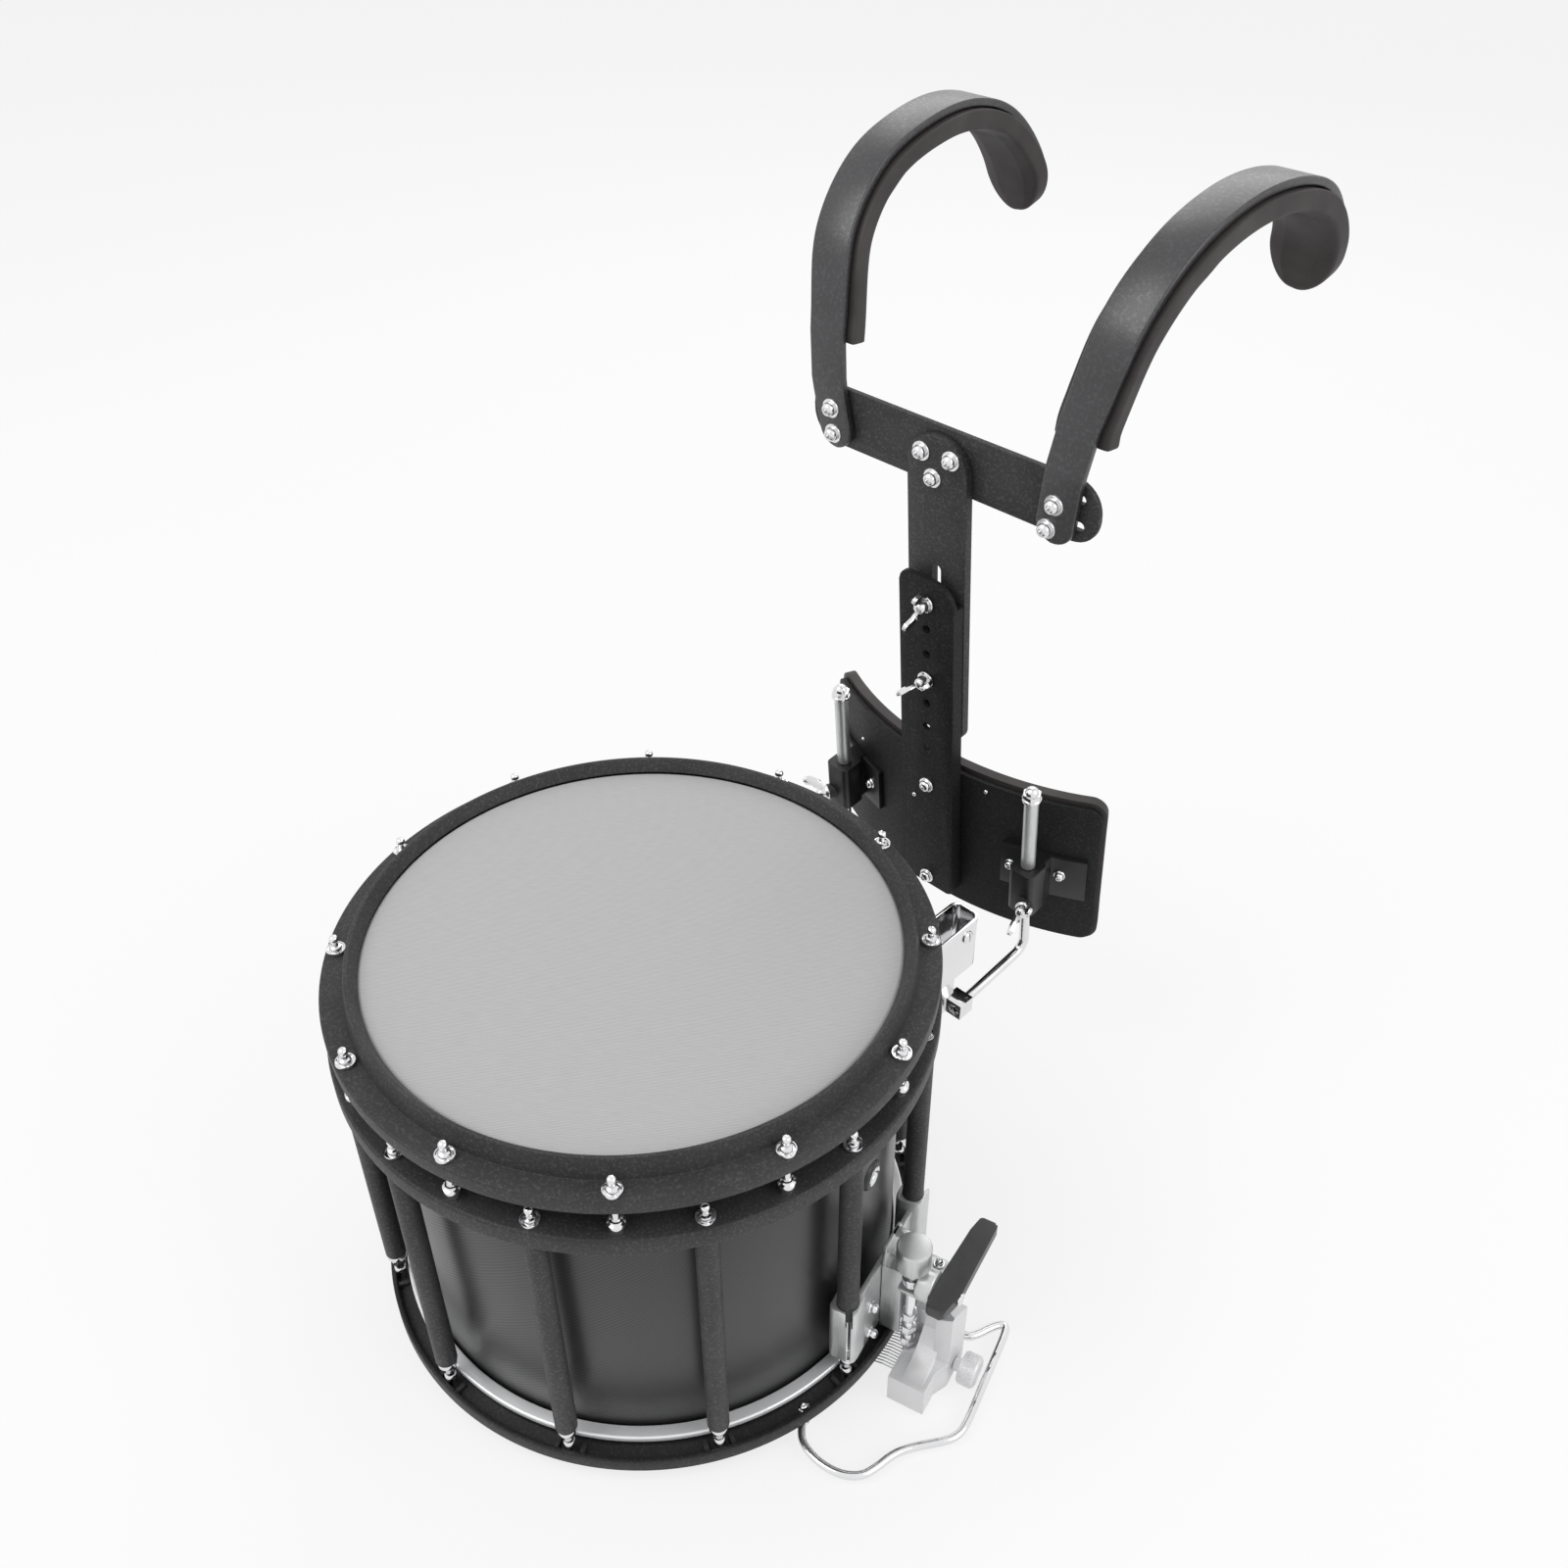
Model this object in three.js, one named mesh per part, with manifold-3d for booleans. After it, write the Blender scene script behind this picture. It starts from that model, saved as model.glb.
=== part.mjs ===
// A marching snare drum on its shoulder carrier, in millimetres, +Z up.
// The origin is the centre of the batter head's playing face, on the drum's axis.
// +Y points from the drum to the player's chest, +X to the side of the snare strainer.

import * as THREE from 'three';
import { mergeVertices } from 'three/addons/utils/BufferGeometryUtils.js';
import Module from 'manifold-3d';

const wasm = await Module();
wasm.setup();

// Fits
const seatGap = 0.3;
const slideGap = 0.5;
const holeClearance = 0.4;
const overrun = 3;

// How finely round work is cut
const drumSteps = 36;
const rodSteps = 6;
const holeSteps = 8;
const tubeSteps = 10;
const knobSteps = 16;
const cornerSteps = 4;

// Shell
const drumDepth = 305;
const shellDiameter = 355.6;
const shellWall = 7;
const ventDiameter = 12;
const ventDepth = 133;

// Heads and their flesh hoops
const skinThickness = 0.8;
const collarGap = 1.2;
const collarWall = 1.2;
const collarDepth = 14;
const collarBend = 4.5;
const fleshWidth = 9.5;
const fleshHeight = 11;

// Counter hoops
const hoopOverhang = 23.6;
const lipInset = 1.6;
const batterLipRise = 2.3;
const snareLipRise = 4.5;
const lipWidth = 4.3;
const flangeDrop = 6;
const flangeThickness = 5;
const flangeWidth = 14.4;
const hoopWallHeight = 12;
const hoopWallThickness = 3.4;

// Tension rods and the lug ring with its tubes
const rodCount = 12;
const rodStandoff = 16.4;
const rodDiameter = 5.8;
const rodWasherDiameter = 13;
const rodWasherThickness = 2;
const rodHeadDiameter = 6.5;
const rodHeadHeight = 10.5;
const rodHeadDome = 1.6;
const rodNutDiameter = 11.5;
const rodNutHeight = 5.5;
const rodNutFootHeight = 2.6;
const rodFootDiameter = 12.5;
const rodFootHeight = 6;
const ringDrop = 41;
const ringHeight = 14;
const ringWidth = 24.6;
const ringShellGap = 0.6;
const tubeDiameter = 15;
const tubeWallClearance = 0.7;
const tubeBottomDrop = 272;
const rodTailBelow = 2;

// Snare strainer, which stands on two of the tubes
const strainerDegrees = 15;
const clampWidth = 20;
const clampHeight = 60;
const clampTopDrop = 195;
const clampTubeSocket = 13;
const bracketPlateThickness = 4;
const bracketPlateReach = 4.4;
const plateLap = 1.8;
const bracketPlateTopDrop = 212;
const bracketPlateHeight = 70;
const guideWall = 3;
const guideDepth = 15.5;
const guideSideGap = 4.3;
const guideWidth = 52;
const guideTopDrop = 213;
const guideHeight = 71;
const guideShelfReach = 41.7;
const guideShelfFront = -21;
const guideShelfWidth = 36;
const pivotBossDiameter = 23;
const pivotBossLength = 11;
const pivotRise = 5.5;
const pivotAside = -12;
const pivotDiameter = 6;
const screwReach = 29.5;
const screwAside = -13.5;
const tensionScrewDiameter = 6.4;
const tensionScrewBottomDrop = 294;
const tensionKnobDiameter = 24;
const tensionKnobHeight = 22;
const tensionKnobTopDrop = 168;
const tensionCollarDiameter = 14;
const tensionCollarHeight = 7;
const tensionNutDiameter = 11;
const tensionNutHeight = 8;
const tensionNutDrops = [241, 256, 270];
const snareDrop = 3;
const leverThrow = 64;
const leverTail = 18.5;
const leverTipWidth = 13.7;
const leverWidth = 18;
const leverThickness = 9;
const leverTaper = 4.6;
const leverTipTaperLength = 26;
const leverTailTaperLength = 20;
const carriageBottomDrop = 306;
const jawInner = 29.5;
const jawOuter = 57;
const jawFront = -44;
const jawBack = 16;
const jawHeight = 26.6;
const outerWallInner = 50.5;
const outerWallOuter = 62.6;
const outerWallFront = -16;
const outerWallBack = 11;
const outerWallInnerDrop = 236;
const outerWallFrontDrop = 224.5;
const outerWallBackDrop = 245;
const backWallFront = -4;
const backWallDrop = 249;
const flareFront = -27;
const fillInner = 38.5;
const fillFront = -41;
const tongueWidth = 9;
const tongueStep = 2;
const tongueHeight = 16;
const clampKnobDiameter = 24.5;
const clampKnobLength = 13;
const clampKnobNeck = 5.2;
const clampKnobNeckDiameter = 10;
const clampKnobAside = -4;
const clampKnobDrop = 293.5;
const clampKnobScrewLength = 10;

// Snares under the snare head, and their gates through the snare hoop
const snareCount = 16;
const snarePitch = 2.4;
const snareThickness = 1.2;
const snareAside = -8;
const snareFlatOverhang = 2.2;
const snareRise = 6.9;
const snareRiseLength = 25;
const snareGrip = 10;
const snareClipLength = 7;
const snareClipThickness = 2;
const snareClipMargin = 1.5;
const gateWidth = 50;

// Butt, which holds the snares' other ends
const buttClampHeight = 40;
const buttClampLap = 3;
const buttPlateTopDrop = 225;
const buttShelfDrop = 276;
const buttShelfThickness = 6;
const buttJawThickness = 9;
const buttJawGap = 3.6;
const buttJawWidth = 52;
const buttJawBottomDrop = 304;

// Wire guard round the strainer: how far its corners reach past the hoop, and how far aside
const guardWireDiameter = 6;
const guardBend = 7;
const guardRun = 71.1;
const guardRunNear = 40;
const guardRunFar = 45;
const guardNearReach = 24.6;
const guardNearAside = 107;
const guardKneeReach = 50.6;
const guardKneeAside = 68;
const guardFootReach = -27.4;
const guardFootAside = 86;
const guardReturnReach = 55.6;
const guardReturnAside = 31;
const guardHeelReach = 44.6;
const guardHeelAside = 24;
const guardElbowReach = 20.6;
const guardElbowAside = 40;
const guardEndReach = -11.4;
const guardEndAside = 46;

// Drum brackets, which take the carrier's rods
const bracketTubeDegrees = 60;
const sheetThickness = 2;
const bracketWidth = 24;
const bracketHeight = 46;
const bracketTopDrop = 66;
const bracketReach = 65;
const bracketCorner = 7;
const bracketJawBack = 10;
const bracketJawFront = 12;
const eyeLength = 15;
const eyeHeight = 14;
const eyeWidth = 16;
const eyeBack = 4;
const tongueDepth = 22;

// Carrier: its frame leans and starts at the upper plate bolt on the column's front face.
// The column stands off from the hoop.
const carrierLeanDegrees = 4.7;
const columnStandoff = 98.3;
const plateBoltDrop = 44.2;
const columnWidth = 50;
const columnDepth = 10.5;
const columnWall = 4;
const columnTop = 194.5;
const columnBottom = -107;
const columnCorner = 18;
const columnHollowEnd = 12;
const columnFoot = 4;
const columnHoleCount = 7;
const columnHolePitch = 22.55;
const columnHoleTop = 172.3;
const columnHoleDiameter = 7;
const lowerScrewHole = 3;

// Belly plate and pad
const plateRadius = 275;
const plateBeyondHook = 37.5;
const plateThickness = 4;
const plateTop = 18;
const plateBottom = -119.5;
const plateCorner = 9;
const bellyPadThickness = 8;
const bellyPadInset = 2;

// Hooked rods with their sleeves and dome nuts
const hookInset = 2.6;
const hookDepth = 6.5;
const hookDiameter = 8;
const hookTop = 36;
const hookBottom = -122;
const hookBend = 11;
const hookEndDepth = -77;
const sleeveDiameter = 11;
const domeNutDiameter = 15;
const domeNutHeight = 8.5;
const domeHeight = 5;

// Clamp blocks on the belly plate
const blockWidth = 22;
const blockFront = 11;
const blockTop = -32;
const blockHeight = 42;
const blockCorner = 5;
const blockWebWidth = 15;
const blockFlangeThickness = 4;
const blockFlangeDegrees = 14;
const blockFlangeMargin = 1;
const clampScrewRise = 13;
const clampScrewDegrees = 28;
const clampScrewBossReach = 15.5;
const clampScrewBossDiameter = 13;

// Wing screws
const wingShankDiameter = 6;
const wingHubDiameter = 11;
const wingHubHeight = 9;
const wingSpan = 36;
const wingRise = 20;
const wingThickness = 3.2;
const wingNutDiameter = 12;
const wingNutThickness = 4;
const blockScrewDegrees = 60;
const bracketScrewDegrees = 90;
const upperScrewDegrees = 115;
const lowerScrewDegrees = 10;

// Half of a wing pair's outline: shares of half the span and of the rise, from the hub's foot
const wingOutlineShares = [
  [0.15, 0.09],
  [0.7, 0.2],
  [1, 0.62],
  [0.97, 0.93],
  [0.8, 1],
  [0.58, 0.9],
  [0.35, 0.43],
  [0, 0.38],
];

// Stem and cross bar
const stemWidth = 51;
const stemThickness = 7;
const stemBottom = 50;
const stemTop = 301;
const stemCorner = 18;
const stemFootCorner = 3;
const stemSlotWidth = 8;
const stemSlotBottom = 60;
const stemSlotTop = 199;
const slotRoundShare = 0.9;
const barLength = 243;
const barHeight = 45;
const barThickness = 4;
const barCorner = 20;
const barCentre = 279.8;
const barSlotPitch = 19.5;
const barSlotWidth = 6.5;
const barSlotLength = 50;
const barSlotMargin = 9.5;

// Shoulder arms and pads
const armThickness = 6;
const armFootWidth = 28.5;
const armWidth = 39;
const armPaddleWidth = 47;
const armFootAside = 93.5;
const armFootShift = 3.5;
const armFootBottom = 254;
const armFootTop = 305;
const armStartAside = 104;
const armStartDepth = 18.6;
const armStart = 338.8;
const armSplay = 21;
const armReach = 243;
const armRise = 108.4;
const armStepShare = 0.012;
const armSteps = 24;
const tipStationShare = 0.985;
const armFootTipShare = 0.55;
const paddleFromShare = 0.6;
const paddleFullShare = 0.88;
const tipFromShare = 0.9;
const tipLeastShare = 0.3;
const padThickness = 15;
const padWidth = 41;
const padCrownShare = 0.12;
const padEdgeShare = 0.3;
const padEndShare = 0.08;

// The arch of an arm from the top of its foot: shares of the splay, the reach and the rise
const armCourseShares = [
  [0, 0, 0],
  [0.48, 0.095, 0.56],
  [0.74, 0.263, 0.88],
  [0.86, 0.493, 1],
  [1, 0.703, 0.958],
  [1, 0.861, 0.795],
  [0.81, 0.965, 0.48],
  [0.48, 1, 0.093],
];

const rad = THREE.MathUtils.degToRad;
const vec = (x, y, z) => new THREE.Vector3(x, y, z);

// Finishes
function finish(color, roughness, metalness) {
  return () => new THREE.MeshStandardMaterial({ color, roughness, metalness });
}
const finishes = {
  carbon: finish(0x26272a, 0.4, 0.1),
  headSkin: finish(0xaeb0ae, 0.65, 0),
  clearSkin: finish(0xd8dad8, 0.4, 0),
  powder: finish(0x3b3c3f, 0.75, 0.1),
  chrome: finish(0xd9dbdd, 0.15, 1),
  satin: finish(0xb9bbbd, 0.4, 0.9),
  castSilver: finish(0xc9c9cb, 0.45, 0.8),
  blackPlastic: finish(0x2c2c2e, 0.5, 0),
  wire: finish(0x8d8f90, 0.4, 0.9),
  armCoat: finish(0x3d4046, 0.7, 0.1),
  foam: finish(0x332f2f, 0.9, 0),
};

// Solids

function dropFlat(index) {
  const kept = [];
  for (let i = 0; i < index.length; i += 3) {
    const [a, b, c] = [index[i], index[i + 1], index[i + 2]];
    if (a !== b && b !== c && a !== c) kept.push(a, b, c);
  }
  return kept;
}

function signedVolume(position, index) {
  const [a, b, c] = [vec(0, 0, 0), vec(0, 0, 0), vec(0, 0, 0)];
  let sum = 0;
  for (let i = 0; i < index.length; i += 3) {
    a.fromBufferAttribute(position, index[i]);
    b.fromBufferAttribute(position, index[i + 1]);
    c.fromBufferAttribute(position, index[i + 2]);
    sum += a.dot(b.cross(c));
  }
  return sum;
}

// A closed three.js geometry as a solid whose faces point out
function solid(geometry) {
  const bare = geometry.clone();
  bare.deleteAttribute('normal');
  bare.deleteAttribute('uv');
  const merged = mergeVertices(bare);
  const index = dropFlat(merged.index.array);
  if (signedVolume(merged.attributes.position, index) < 0) index.reverse();
  return new wasm.Manifold(new wasm.Mesh({
    numProp: 3,
    vertProperties: new Float32Array(merged.attributes.position.array),
    triVerts: new Uint32Array(index),
  }));
}

function geometryOf(body) {
  const mesh = body.getMesh();
  const geometry = new THREE.BufferGeometry();
  geometry.setAttribute('position', new THREE.BufferAttribute(new Float32Array(mesh.vertProperties), 3));
  geometry.setIndex([...mesh.triVerts]);
  geometry.computeVertexNormals();
  return geometry;
}

const join = (first, ...others) => others.reduce((sum, other) => sum.add(other), first);
const cut = (first, ...others) => others.reduce((rest, other) => rest.subtract(other), first);

// A box between two corners
function block(x0, x1, y0, y1, z0, z1) {
  const geometry = new THREE.BoxGeometry(Math.abs(x1 - x0), Math.abs(y1 - y0), Math.abs(z1 - z0));
  return solid(geometry.translate((x0 + x1) / 2, (y0 + y1) / 2, (z0 + z1) / 2));
}

// A profile of [radius, height] points turned round the Z axis
function turned(profile, steps) {
  const points = profile.map(([r, z]) => new THREE.Vector2(r, z));
  return solid(new THREE.LatheGeometry(points, steps).rotateX(Math.PI / 2));
}

// A pin of a given diameter between two points
function pin(from, to, diameter, steps = holeSteps) {
  const along = to.clone().sub(from);
  const geometry = new THREE.CylinderGeometry(diameter / 2, diameter / 2, along.length(), steps);
  const turn = new THREE.Quaternion().setFromUnitVectors(vec(0, 1, 0), along.clone().normalize());
  geometry.applyQuaternion(turn).translate(...from.clone().add(to).multiplyScalar(0.5).toArray());
  return solid(geometry);
}

// A cutter for a hole whose flats, not its corners, stand at the given diameter
function hole(from, to, diameter, steps = holeSteps) {
  return pin(from, to, diameter / Math.cos(Math.PI / steps), steps);
}

function outline(points) {
  return new THREE.Shape(points.map(([x, y]) => new THREE.Vector2(x, y)));
}

// A rectangle with round corners, each with its own radius: lower left, then anticlockwise
function roundedOutline(x0, x1, y0, y1, radii) {
  const [ll, lr, ur, ul] = radii;
  const shape = new THREE.Shape();
  shape.moveTo(x0 + ll, y0);
  shape.lineTo(x1 - lr, y0);
  shape.absarc(x1 - lr, y0 + lr, lr, -Math.PI / 2, 0);
  shape.lineTo(x1, y1 - ur);
  shape.absarc(x1 - ur, y1 - ur, ur, 0, Math.PI / 2);
  shape.lineTo(x0 + ul, y1);
  shape.absarc(x0 + ul, y1 - ul, ul, Math.PI / 2, Math.PI);
  shape.lineTo(x0, y0 + ll);
  shape.absarc(x0 + ll, y0 + ll, ll, Math.PI, 1.5 * Math.PI);
  return shape;
}

function slab(shape, thickness) {
  return new THREE.ExtrudeGeometry(shape, {
    depth: thickness, bevelEnabled: false, curveSegments: cornerSteps,
  });
}

// Extruded up from a plan in X and Y
const risen = (shape, z0, z1) => solid(slab(shape, z1 - z0).translate(0, 0, z0));

// Extruded back along +Y from an elevation in X and Z
const deepened = (shape, y0, y1) => solid(slab(shape, y1 - y0).rotateX(Math.PI / 2).translate(0, y1, 0));

// The direction of a run of points at one of them
function directionAt(points, i) {
  const before = points[Math.max(i - 1, 0)];
  const after = points[Math.min(i + 1, points.length - 1)];
  return after.clone().sub(before).normalize();
}

// A bar that follows points, with a section of [across, inward] offsets at each point
function swept(points, sectionAt, acrossHint, alongAt = (i) => directionAt(points, i)) {
  const rings = points.map((point, i) => {
    const along = alongAt(i);
    const across = acrossHint.clone().addScaledVector(along, -acrossHint.dot(along)).normalize();
    const inward = along.clone().cross(across);
    return sectionAt(i).map(([a, b]) => point.clone().addScaledVector(across, a).addScaledVector(inward, b));
  });
  const count = rings[0].length;
  const index = [];
  for (let i = 0; i + 1 < rings.length; i += 1) {
    for (let k = 0; k < count; k += 1) {
      const next = (k + 1) % count;
      const [a, b] = [i * count + k, i * count + next];
      index.push(a, b, a + count, b, b + count, a + count);
    }
  }
  const last = (rings.length - 1) * count;
  for (let k = 1; k + 1 < count; k += 1) {
    index.push(0, k + 1, k, last, last + k, last + k + 1);
  }
  const geometry = new THREE.BufferGeometry();
  const places = rings.flat().flatMap((point) => point.toArray());
  geometry.setAttribute('position', new THREE.Float32BufferAttribute(places, 3));
  geometry.setIndex(index);
  return solid(geometry);
}

function circleSection(diameter, steps) {
  return Array.from({ length: steps }, (_, k) => {
    const turn = (2 * Math.PI * k) / steps;
    return [Math.cos(turn) * diameter / 2, Math.sin(turn) * diameter / 2];
  });
}

// A wire bent round its inner corners
function bentWire(corners, bend, diameter, acrossHint) {
  const path = [corners[0]];
  for (let i = 1; i + 1 < corners.length; i += 1) {
    const [before, corner, after] = [corners[i - 1], corners[i], corners[i + 1]];
    const start = corner.clone().addScaledVector(before.clone().sub(corner).normalize(), bend);
    const end = corner.clone().addScaledVector(after.clone().sub(corner).normalize(), bend);
    path.push(...new THREE.QuadraticBezierCurve3(start, corner, end).getPoints(cornerSteps));
  }
  path.push(corners.at(-1));
  return swept(path, () => circleSection(diameter, holeSteps), acrossHint);
}

// The assembly

const drum = new THREE.Group();

function add(parent, name, body, material, place = vec(0, 0, 0)) {
  const mesh = new THREE.Mesh(geometryOf(body), material());
  mesh.name = name;
  mesh.position.copy(place);
  parent.add(mesh);
  return mesh;
}

// Shell, heads and hoops

const shellRadius = shellDiameter / 2;
const fleshInner = shellRadius + collarGap;
const collarOuter = fleshInner + collarWall;
const fleshOuter = fleshInner + fleshWidth;
const hoopOuter = shellRadius + hoopOverhang;
const hoopBore = collarOuter + holeClearance;
const rodCircle = shellRadius + rodStandoff;
const rodHole = rodDiameter + 2 * holeClearance;
const hoopSeat = -collarDepth + seatGap;
const bendStart = collarOuter - collarBend - skinThickness * Math.SQRT2;
const edgeStart = bendStart - seatGap * Math.SQRT2;

const onCircle = (degrees, z) => vec(
  rodCircle * Math.cos(rad(degrees)),
  rodCircle * Math.sin(rad(degrees)),
  z,
);
const topRodAngles = Array.from({ length: rodCount }, (_, k) => (k + 0.5) * 360 / rodCount);
const tubeAngles = Array.from({ length: rodCount }, (_, k) => k * 360 / rodCount);

// Turns a batter-side solid into its snare-side twin
function flipped(body) {
  const geometry = geometryOf(body).scale(1, 1, -1).translate(0, 0, -drumDepth);
  return solid(geometry);
}

// Shell with a bevelled edge under each head's bend
function buildShell() {
  const top = -skinThickness - seatGap;
  const bottom = -drumDepth - top;
  const inner = shellRadius - shellWall;
  const edge = edgeStart - shellRadius;
  const wall = turned([
    [inner, top],
    [edgeStart - top, top],
    [shellRadius, edge],
    [shellRadius, -drumDepth - edge],
    [edgeStart - top, bottom],
    [inner, bottom],
    [inner, top],
  ], drumSteps);
  const turn = rad(strainerDegrees);
  const outward = vec(Math.cos(turn), Math.sin(turn), 0);
  const from = outward.clone().multiplyScalar(inner - overrun).setZ(-ventDepth);
  const to = outward.clone().multiplyScalar(shellRadius + overrun).setZ(-ventDepth);
  return cut(wall, hole(from, to, ventDiameter));
}

function buildHead() {
  return turned([
    [0, 0],
    [collarOuter - collarBend, 0],
    [collarOuter, -collarBend],
    [collarOuter, -collarDepth],
    [fleshOuter, -collarDepth],
    [fleshOuter, -collarDepth - fleshHeight],
    [fleshInner, -collarDepth - fleshHeight],
    [fleshInner, bendStart - fleshInner],
    [bendStart + skinThickness, -skinThickness],
    [0, -skinThickness],
  ], drumSteps);
}

function buildHoop(lipRise, rodAngles) {
  const lip = shellRadius - lipInset;
  const flange = hoopOuter - flangeWidth;
  const wallBottom = -flangeDrop - hoopWallHeight;
  const wallInner = hoopOuter - hoopWallThickness;
  const ring = turned([
    [lip, seatGap],
    [lip, lipRise],
    [lip + lipWidth, lipRise],
    [flange, -flangeDrop],
    [hoopOuter, -flangeDrop],
    [hoopOuter, wallBottom],
    [wallInner, wallBottom],
    [wallInner, -flangeDrop - flangeThickness],
    [flange, hoopSeat],
    [hoopBore, hoopSeat],
    [hoopBore, seatGap],
    [lip, seatGap],
  ], drumSteps);
  const holes = rodAngles.map((degrees) => hole(
    onCircle(degrees, -flangeDrop - flangeThickness - overrun),
    onCircle(degrees, -flangeDrop + overrun),
    rodHole,
  ));
  return cut(ring, ...holes);
}

// The snare hoop has a gate at each end of the snares
function buildSnareHoop() {
  const hoop = flipped(buildHoop(snareLipRise, tubeAngles));
  const reach = hoopOuter + overrun;
  const top = -drumDepth + flangeDrop;
  const gate = block(
    -reach, reach,
    snareAside - gateWidth / 2, snareAside + gateWidth / 2,
    -drumDepth - snareLipRise - overrun, top,
  );
  const keptRoof = block(
    -reach, reach,
    snareAside - gateWidth / 2 - overrun, snareAside + gateWidth / 2 + overrun,
    top, top + overrun,
  );
  return cut(hoop, solid(geometryOf(cut(gate, keptRoof)).rotateZ(rad(strainerDegrees))));
}

add(drum, 'shell', buildShell(), finishes.carbon);
add(drum, 'batter_head', buildHead(), finishes.headSkin);
add(drum, 'batter_hoop', buildHoop(batterLipRise, topRodAngles), finishes.powder);
add(drum, 'snare_head', flipped(buildHead()), finishes.clearSkin);
add(drum, 'snare_hoop', buildSnareHoop(), finishes.powder);

// Lug ring with its twelve tubes. The strainer's two clamps take the place of two tube ends.

const tubeBore = rodDiameter + 2 * tubeWallClearance;
const ringBottom = -ringDrop - ringHeight;
const strainerTubes = [strainerDegrees - 180 / rodCount, strainerDegrees + 180 / rodCount];
const shortTubeBottom = -clampTopDrop - clampTubeSocket;

function tubeBottomAt(degrees) {
  return strainerTubes.includes(degrees) ? shortTubeBottom : -tubeBottomDrop;
}

function buildLugRing() {
  const inner = shellRadius + ringShellGap;
  const outer = inner + ringWidth;
  const ring = turned([
    [inner, -ringDrop], [outer, -ringDrop], [outer, ringBottom], [inner, ringBottom], [inner, -ringDrop],
  ], drumSteps);
  const tubes = tubeAngles.map((degrees) => pin(
    onCircle(degrees, tubeBottomAt(degrees)),
    onCircle(degrees, ringBottom + overrun),
    tubeDiameter,
    tubeSteps,
  ));
  const bores = tubeAngles.map((degrees) => hole(
    onCircle(degrees, -tubeBottomDrop - overrun),
    onCircle(degrees, -ringDrop + overrun),
    tubeBore,
  ));
  const holes = topRodAngles.map((degrees) => hole(
    onCircle(degrees, ringBottom - overrun),
    onCircle(degrees, -ringDrop + overrun),
    rodHole,
  ));
  return cut(join(ring, ...tubes), ...bores, ...holes);
}

add(drum, 'lug_ring', buildLugRing(), finishes.powder);

// Tension rods

function rodTop(seat) {
  const washerTop = seat + seatGap + rodWasherThickness;
  return [
    [0, washerTop + rodHeadHeight],
    [rodHeadDiameter / 2 - rodHeadDome, washerTop + rodHeadHeight],
    [rodHeadDiameter / 2, washerTop + rodHeadHeight - rodHeadDome],
    [rodHeadDiameter / 2, washerTop],
    [rodWasherDiameter / 2, washerTop],
    [rodWasherDiameter / 2, seat + seatGap],
    [rodDiameter / 2, seat + seatGap],
  ];
}

function buildTopRod() {
  const nutBottom = -ringDrop + seatGap + rodNutFootHeight;
  return turned([
    ...rodTop(-flangeDrop),
    [rodDiameter / 2, nutBottom + rodNutHeight],
    [rodNutDiameter / 2, nutBottom + rodNutHeight],
    [rodNutDiameter / 2, nutBottom],
    [rodDiameter / 2, nutBottom],
    [rodDiameter / 2, ringBottom - rodTailBelow],
    [0, ringBottom - rodTailBelow],
  ], rodSteps);
}

// A bottom rod runs down its tube into the snare hoop. A chrome foot closes the tube below.
function buildBottomRod() {
  const foot = -tubeBottomDrop - seatGap;
  const tail = -drumDepth + flangeDrop;
  return turned([
    ...rodTop(-ringDrop),
    [rodDiameter / 2, foot],
    [rodFootDiameter / 2, foot],
    [rodFootDiameter / 2, foot - rodFootHeight],
    [rodDiameter / 2, foot - rodFootHeight],
    [rodDiameter / 2, tail],
    [0, tail],
  ], rodSteps);
}

const topRod = buildTopRod();
const bottomRod = buildBottomRod();
topRodAngles.forEach((degrees, k) => {
  add(drum, `top_rod_${k + 1}`, topRod, finishes.chrome, onCircle(degrees, 0));
});
tubeAngles.forEach((degrees, k) => {
  add(drum, `bottom_rod_${k + 1}`, bottomRod, finishes.chrome, onCircle(degrees, 0));
});

// Strainer. Its own directions: +X out from the drum's axis, +Y round the drum.

const strainer = new THREE.Group();
strainer.rotation.z = rad(strainerDegrees);
drum.add(strainer);

const halfStep = rad(180 / rodCount);
const tubeOut = rodCircle * Math.cos(halfStep);
const tubeAside = rodCircle * Math.sin(halfStep);
const plateOuter = tubeOut + bracketPlateReach;
const plateInner = plateOuter - bracketPlateThickness;

function tubeClamp(side, top, height) {
  const y = side * tubeAside;
  const half = clampWidth / 2;
  return block(tubeOut - half, tubeOut + half, y - half, y + half, top - height, top);
}

function buildStrainerBracket() {
  const socket = tubeDiameter + 2 * seatGap;
  const parts = [-1, 1].map((side) => {
    const y = side * tubeAside;
    const top = -clampTopDrop;
    const floor = shortTubeBottom - seatGap;
    return cut(
      tubeClamp(side, top, clampHeight),
      hole(vec(tubeOut, y, floor), vec(tubeOut, y, top + overrun), socket, tubeSteps),
      block(tubeOut - socket / 2, tubeOut + socket / 2, y - clampWidth, y, floor, top + overrun),
      hole(vec(tubeOut, y, top - clampHeight - overrun), vec(tubeOut, y, top), tubeBore),
    );
  });
  const plate = block(
    plateInner, plateOuter,
    -tubeAside + clampWidth / 2 - plateLap, tubeAside - clampWidth / 2 + plateLap,
    -bracketPlateTopDrop - bracketPlateHeight, -bracketPlateTopDrop,
  );
  const clearTube = hole(
    vec(tubeOut, tubeAside, shortTubeBottom - seatGap),
    vec(tubeOut, tubeAside, 0),
    socket,
    tubeSteps,
  );
  return cut(join(parts[0], parts[1], plate), clearTube);
}

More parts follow.
